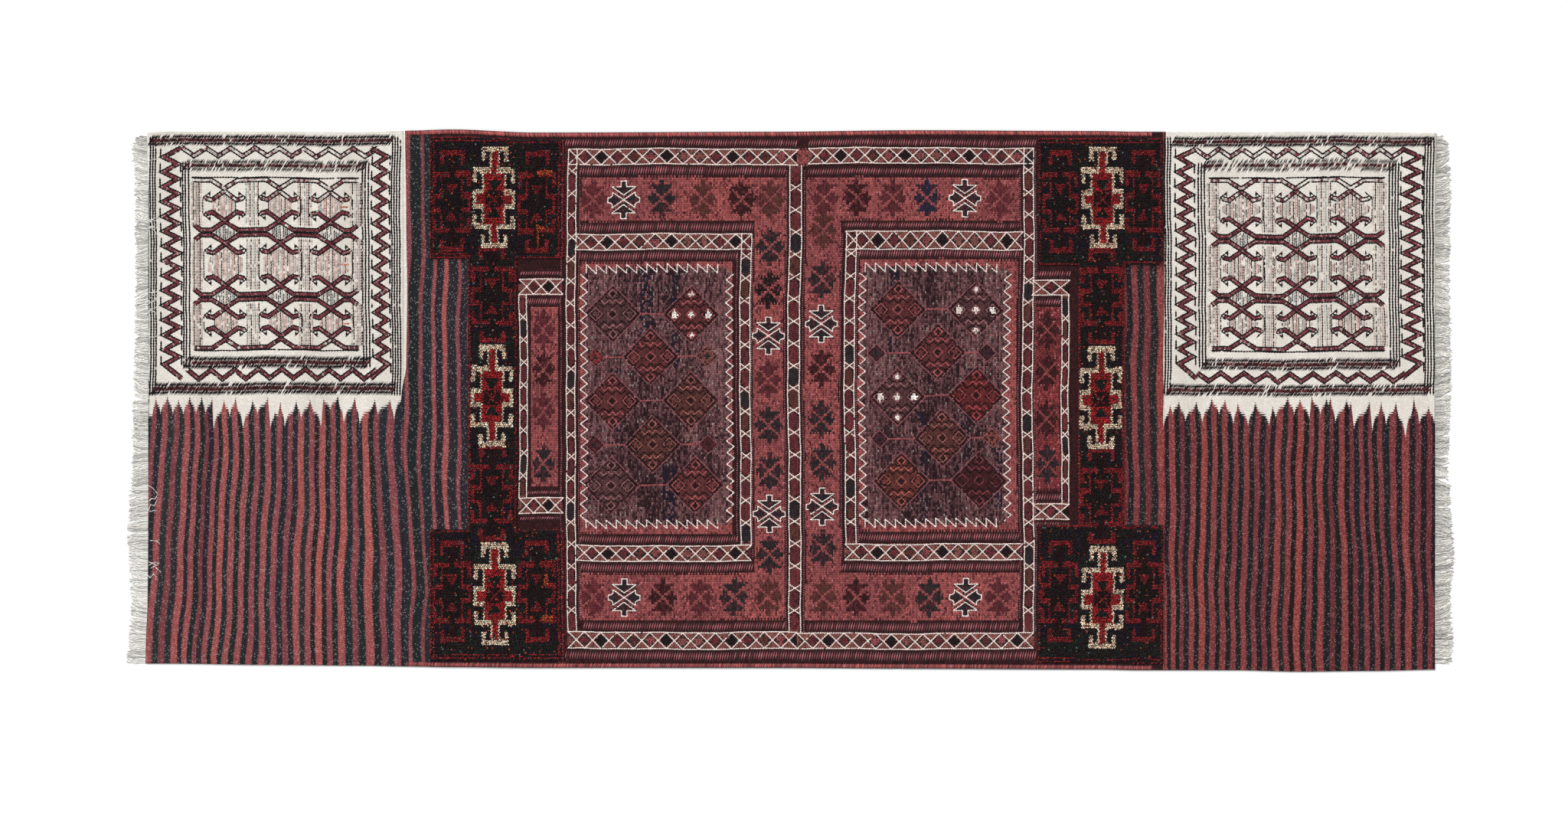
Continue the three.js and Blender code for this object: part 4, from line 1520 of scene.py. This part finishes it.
def sewPanelHatch(work, left, right, low, high, fullness):
    count = round((right - left) / panelHatchPitch)
    tall = high - low
    for layer, (middle, reach, width, yarn, share) in enumerate(panelHatch):
        x = left + (right - left) * (np.arange(count) + 0.5) / count + (middle - 0.5) * tall * 0.55
        y = np.full(count, low + tall * middle) + draw.normal(0, 0.5, count)
        keep = draw.random(count) < share * (fullness + 0.15 * np.sin(x / 17 + low))
        x, y = x[keep], y[keep]
        x, y = drifted(x, y)
        size = (tall * reach, width / 2 * (0.4 + 0.6 * fullness), 0.8)
        z = groundHeight(x, y) + 0.1 * layer
        addStitches(work, x, y, z, size, panelHatchTurn, tone(yarn), 0.35)


def sewHooks(work, x, crossY, up, worn):
    for side in (-1, 1):
        arm = [(x, crossY), (x + side * 23, crossY + up * 16.5), (x + side * 35, crossY + up * 13.5)]
        sewBanded(work, arm, worn)
        barb = [(28, 9), (27.5, 1.5), (33, 7), (40, 11.5), (34, 18)]
        sewPath(work, [(x + side * px, crossY + up * py) for px, py in barb], blackLine, tone("black"))


# A banded line with a peak at every column. Its ends turn the same way where it is flared.
def sewChain(work, panel, y, peak, flare, worn):
    left, right, _, _ = panel["frame"]
    points = [(left + 4, y + flare), (left + 16, y)]
    for x in panel["columns"]:
        points += [(x - 25, y), (x, y + peak), (x + 25, y)]
    points += [(right - 16, y), (right - 4, y + flare)]
    sewBanded(work, points, worn)


def sewLozenge(work, x, top, bottom, reach, pitch, yarnsAcross, slope):
    steps = int(reach / pitch)
    for step in range(-steps, steps + 1):
        short = abs(step * pitch) * slope + 7
        if top - bottom - 2 * short < 5:
            continue
        place = x + step * pitch
        yarn = yarnsAcross[(step + int(abs(x) + abs(top))) % len(yarnsAcross)]
        line = fillLine if yarn in ("beige", "rose") else thinLine
        sewPath(work, [(place, bottom + short), (place, top - short)], line, tone(yarn))


def sewZigzags(work, panel):
    for start, stop, middle, reach, waves, worn in panel["zigzags"]:
        points = []
        for index in range(2 * waves + 1):
            place = start + (stop - start) * index / (2 * waves)
            points.append((place, middle + (-reach if index % 2 else reach)))
        sewBanded(work, points, worn)
    for inward, (middle, reach) in zip((1, -1), panel["uprights"]):
        turns = [(inward if index % 2 else -inward, 461 - index * 14.0) for index in range(29)]
        turning = [(middle + side * reach, y) for side, y in turns]
        sewBanded(work, [(middle + inward * 19, 477)] + turning + [(middle + inward * 20, 42)])
        for side, y in turns:
            place = middle + side * (reach + 6)
            sewPath(work, [(place, y - side), (place, y - side * 15)], edgeLine, tone("black"))


# What both panels have alike. Spans are the lowest and highest places of the frames' lines.
panelShape = {
    "outerSpan": (12, 498),
    "innerSpan": (64, 450),
    "peak": 16.0,
    "fromRow": 4.7,  # from a row's middle to each of its two chains
    "flare": 9.0,
    "hooksFromRow": 22,
    "lozengePitch": 3.5,
    "sideLine": 41,  # from a column's middle to the thin line on each side
    "sideLineInset": 14,
    "coolLozenge": (21, 17, 3.4),  # half its height, reach, pitch
    "coolYarns": ["char", "black", "slate", "char", "beige", "black"],
    "bundleFromRow": 13,
    "warmYarns": ["beige", "black", "beige", "slate", "rose", "black", "beige"],
    "greyYarns": ["slate", "beige", "black", "beige", "slate", "beige", "black"],
    "slope": 0.6,  # of a lozenge's ends
}


def sewFrames(work, panel):
    for lines, (bottom, top) in (
            (panel["outer"], panelShape["outerSpan"]), (panel["inner"], panelShape["innerSpan"])):
        for x in lines:
            sewPath(work, [(x, bottom), (x, top)], edgeLine, tone("black"))
    for box in panel["hatches"]:
        sewPanelHatch(work, *box)


def sewChains(work, panel):
    s = panelShape
    left, right, low, high = panel["frame"]
    sewChain(work, panel, high - 4, -s["peak"], 0, 0.8)
    sewChain(work, panel, low + 3, s["peak"], 0, 0.15)
    sewPath(work, [(left, high + 1), (right, high + 1)], blackLine, tone("black"))
    sewPath(work, [(left + 4, low - 2), (right - 4, low - 2)], blackLine, tone("black"))
    for y in panel["rows"]:
        for up in (1, -1):
            sewChain(work, panel, y + up * s["fromRow"], up * s["peak"], up * s["flare"], usualWear)


def sewLozenges(work, panel):
    s = panelShape
    _, _, low, high = panel["frame"]
    topRow, bottomRow = panel["rows"]
    fromRow = s["hooksFromRow"]
    # Where the hooks of a column cross, from the top down, with a lozenge between each two.
    crossings = [
        high - 25, topRow + fromRow, topRow - fromRow, bottomRow + fromRow, bottomRow - fromRow, low + 24]
    shortReach, longReach = panel["lozengeReach"]
    coolHigh, coolReach, coolPitch = s["coolLozenge"]
    for x in panel["columns"]:
        for index, y in enumerate(crossings):
            sewHooks(work, x, y, 1 if index % 2 else -1, usualWear if index else 0.55)
        for index in (0, 2, 4):
            top, bottom = crossings[index], crossings[index + 1]
            reach = longReach if index == 2 else shortReach
            sewLozenge(work, x, top, bottom, reach, s["lozengePitch"], panel["lozengeYarns"], s["slope"])
            for edge in (x - s["sideLine"], x + s["sideLine"]):
                ends = [(edge, top - s["sideLineInset"]), (edge, bottom + s["sideLineInset"])]
                sewPath(work, ends, thinLine, tone("black"))
        for y in panel["rows"]:
            sewLozenge(work, x, y + coolHigh, y - coolHigh, coolReach, coolPitch, s["coolYarns"], s["slope"])


def sewBundles(work, panel):
    s = panelShape
    _, _, low, high = panel["frame"]
    topRow, bottomRow = panel["rows"]
    gap = s["bundleFromRow"]
    spans = [(topRow + gap, high - 9), (bottomRow + gap, topRow - gap), (low + 8, bottomRow - gap)]
    for number, (start, stop) in enumerate(panel["bundles"]):
        bundleYarns = s["greyYarns"] if number == panel["greyBundle"] else s["warmYarns"]
        for index, yarn in enumerate(bundleYarns):
            x = start + (stop - start) * index / 6
            line = fillLine if yarn in ("beige", "rose") else thinLine
            for bottom, top in spans:
                sewPath(work, [(x, bottom), (x, top)], line, tone(yarn))


def sewPanel(work, panel):
    sewFrames(work, panel)
    sewZigzags(work, panel)
    sewChains(work, panel)
    sewLozenges(work, panel)
    sewBundles(work, panel)
    for startX, startY, stopX, stopY, yarn in panel["dashes"]:
        sewPath(work, [(startX, startY), (stopX, stopY)], blackLine, tone(yarn))
    for y in panel["frays"]:
        bend = draw.normal(0, 5, 3)
        x = -1207 + draw.normal(0, 2)
        thread = [(x - 9, y + bend[0]), (x - 3, y + bend[1]), (x + 4, y), (x + 9, y + bend[2])]
        sewPath(work, thread, frayedThread, tone("ivory", 0.85))


def panelPiece(name):
    work = newWork()
    sewPanel(work, panels[name])
    return sewnPiece("panel_motifs_" + name, work, "wrapping")


panelPieces = [panelPiece(name) for name in panels]


# The overcast long sides

overcast = {"pitch": 2.6, "size": (4.7, 1.9, 1.5), "lean": 0.3, "sunk": 0.4}


def overcastPiece():
    work = newWork()
    for side in (1, -1):
        x = np.arange(levels["rimFrom"] + 2, levels["rimTo"], overcast["pitch"])
        y = readTable(longSides, 1 if side > 0 else 2, x) - side * levels["rimWidth"] / 2
        colour = np.tile(tone("redBright", 1.15) if side > 0 else tone("red"), (len(x), 1))
        mix = draw.random(len(x))
        colour[mix > 0.6] = tone("redBright", 1.3 if side > 0 else 1.15)
        colour[mix > 0.93] = tone("pink")
        colour[mix < 0.15] = tone("red")
        turn = math.pi / 2 + side * overcast["lean"] + draw.normal(0, 0.08, len(x))
        x = x + draw.normal(0, 0.3, len(x))
        z = groundHeight(x, y) - overcast["sunk"]
        addStitches(work, x, y, z, overcast["size"], turn, colour, 0.18)
    return sewnPiece("overcast_edges", work, "overcast")


overcastObject = overcastPiece()


# The fringes

# A thin tube along every path, thinning where its places say so.
def strandTree():
    tree, given = newGroup("WarpEnds", [
        ("Paths", "Geometry"), ("Sides", "Int"), ("Thickness", "Float"), ("Yarn", "Material")])
    curves = addNode(tree, "GeometryNodeMeshToCurve", [given["Paths"]])
    thick = addNode(tree, "GeometryNodeInputNamedAttribute", {"Name": "thick"}, {"data_type": "FLOAT"})
    profile = addNode(tree, "GeometryNodeCurvePrimitiveCircle", {
        "Resolution": given["Sides"], "Radius": given["Thickness"]})
    sized = addNode(tree, "GeometryNodeSetCurveRadius", {0: curves, "Radius": thick})
    tubes = addNode(tree, "GeometryNodeCurveToMesh", {
        0: sized, "Profile Curve": profile, "Fill Caps": True})
    return closeGroup(tree, tubes, given["Yarn"])


warpEnds = strandTree()
fringe = {
    "first": -497,
    "last": 502,
    "pitch": 1.15,
    "thick": 0.85,
    "points": 7,  # along one strand
    "lockShare": 0.3,  # how often a strand starts a new lock
    "gather": 0.15,  # how far a lock's strands lean to its middle
    "curl": 2.4,
    "cornerCalm": 40,  # within this distance of a corner the strands lean less
    "shade": {"left": 1.08, "right": 0.9},
    "unevenShade": 0.14,
    # shadedShare and shaded: a share of the strands is painted darker, as painted shade between the strands
    "shadedShare": 0.3,
    "shaded": 0.6,
}


def fringePiece(name, side):
    sign = -1 if side == "left" else 1
    edgeColumn, tipColumn = (1, 3) if side == "left" else (2, 4)
    places = np.arange(fringe["first"], fringe["last"], fringe["pitch"])
    lock = np.cumsum(draw.random(len(places)) < fringe["lockShare"])
    lean = draw.normal(0, 2.0, lock[-1] + 1)
    reach = draw.normal(0, 0.9, lock[-1] + 1)
    lockY = {number: places[lock == number].mean() for number in set(lock.tolist())}
    vertices, edges, thick, colours = [], [], [], []
    for index, y in enumerate(places):
        root = float(readTable(clothEnds, edgeColumn, y)) + sign * 0.4
        tip = float(readTable(clothEnds, tipColumn, y)) + sign * (reach[lock[index]] + draw.normal(0, 1.5))
        calm = np.clip((500 - abs(y)) / fringe["cornerCalm"], 0.1, 1)
        sway = (3.0 * math.sin(y / 17) + 6.0 * math.sin(y / 63 + 1.3) + lean[lock[index]]) * calm
        gather = (lockY[lock[index]] - y) * fringe["gather"]
        layer = index % 2
        wave = draw.random() * 6.28
        first = len(vertices)
        for step in range(fringe["points"]):
            share = step / (fringe["points"] - 1)
            x = root + (tip - root) * share
            curl = fringe["curl"] * math.sin(wave + share * 7) * share
            across = y + (sway + gather) * share ** 1.3 + curl
            # Every second strand starts on top of its neighbours and comes down a little.
            height = 0.85 + layer * 0.9 * (1 - 0.4 * share) + 0.3 * math.sin(wave + share * 9)
            vertices.append((x * mm, across * mm, height * mm))
            thick.append(1.0 - 0.4 * share)
        edges += [(at, at + 1) for at in range(first, first + fringe["points"] - 1)]
        shade = np.clip(draw.normal(fringe["shade"][side], fringe["unevenShade"]), 0.4, 1.15)
        # Painted shade: some strands are darkened to stand in for the shade between the strands.
        if draw.random() < fringe["shadedShare"]:
            shade = shade * fringe["shaded"]
        colours += [(*np.clip(tone("ivory") * shade, 0, 1), 1)] * fringe["points"]
    mesh = bpy.data.meshes.new(name + "Paths")
    mesh.from_pydata(vertices, edges, [])
    mesh.attributes.new("thick", "FLOAT", "POINT").data.foreach_set("value", thick)
    mesh.attributes.new("yarn", "FLOAT_COLOR", "POINT").data.foreach_set("color", np.array(colours).ravel())
    piece = bpy.data.objects.new(name, mesh)
    bpy.context.scene.collection.objects.link(piece)
    madeByNodes(piece, warpEnds, {
        "Sides": 3, "Thickness": fringe["thick"] * mm, "Yarn": materials["fringe"]})
    print(name, countTriangles(piece), "triangles")
    return piece


fringePieces = {side: fringePiece("strands_" + side, side) for side in ("left", "right")}


# Floor, light and camera

# Lengths here are metres, but the lens and sensor are millimetres. The camera looks straight down, and
# frameWidth is what it sees at the height of the rug.
studioSettings = {
    "floorHalf": 20.0,
    "floorDrop": 0.0004,
    "floorShade": 0.93,  # matt paper, which gives a pale floor with no gleam
    "sky": 0.5,
    "sun": 2.6,
    "sunAngle": 28,  # degrees across: a large softbox, with soft shadows
    "sunTurn": (-30, -30, 0),
    "lens": 85,
    "sensor": 36,
    "farthest": 50,
    "frameWidth": 2.9696,
    "frameMiddle": (-0.0123, -0.0312),
    "rugHeight": 0.004,
}


def studio():
    s = studioSettings
    half = s["floorHalf"]
    mesh = bpy.data.meshes.new("floor")
    corners = [(-half, -half, 0), (half, -half, 0), (half, half, 0), (-half, half, 0)]
    mesh.from_pydata(corners, [], [(0, 1, 2, 3)])
    floor = bpy.data.objects.new("floor", mesh)
    floor.location.z = -s["floorDrop"]
    bpy.context.scene.collection.objects.link(floor)
    material, _, shader = newMaterial("paper_backdrop", 0.9, 0.0)
    shader.inputs["Base Color"].default_value = (*[s["floorShade"]] * 3, 1)
    mesh.materials.append(material)

    world = bpy.data.worlds.new("studio")
    bpy.context.scene.world = world
    world.use_nodes = True
    background = world.node_tree.nodes["Background"]
    background.inputs["Color"].default_value = (1, 1, 1, 1)
    background.inputs["Strength"].default_value = s["sky"]

    sun = bpy.data.lights.new("softbox", "SUN")
    sun.energy = s["sun"]
    sun.angle = math.radians(s["sunAngle"])
    lamp = bpy.data.objects.new("softbox", sun)
    lamp.rotation_euler = [math.radians(turn) for turn in s["sunTurn"]]
    bpy.context.scene.collection.objects.link(lamp)

    camera = bpy.data.cameras.new("camera")
    camera.lens = s["lens"]
    camera.sensor_width = s["sensor"]
    camera.clip_end = s["farthest"]
    viewer = bpy.data.objects.new("camera", camera)
    viewer.location = (*s["frameMiddle"], s["frameWidth"] * s["lens"] / s["sensor"] + s["rugHeight"])
    bpy.context.scene.collection.objects.link(viewer)
    bpy.context.scene.camera = viewer
    bpy.context.scene.view_settings.view_transform = "Standard"


studio()
print("studio set")

# Every piece hangs from the root body, and the solid parts that it stands for are hidden
for name, piece in clothPieces.items():
    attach(piece, "root")
    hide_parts("rug_cloth")
sewn = wrappedPieces + pilePieces + panelPieces + [outlinesObject, overcastObject]
for piece in sewn:
    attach(piece, "root")
    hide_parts("rug_cloth")
for side, piece in fringePieces.items():
    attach(piece, "root")
    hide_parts("fringe_" + side)

everyPiece = list(clothPieces.values()) + sewn + list(fringePieces.values())
print("triangles in all:", sum(countTriangles(piece) for piece in everyPiece))
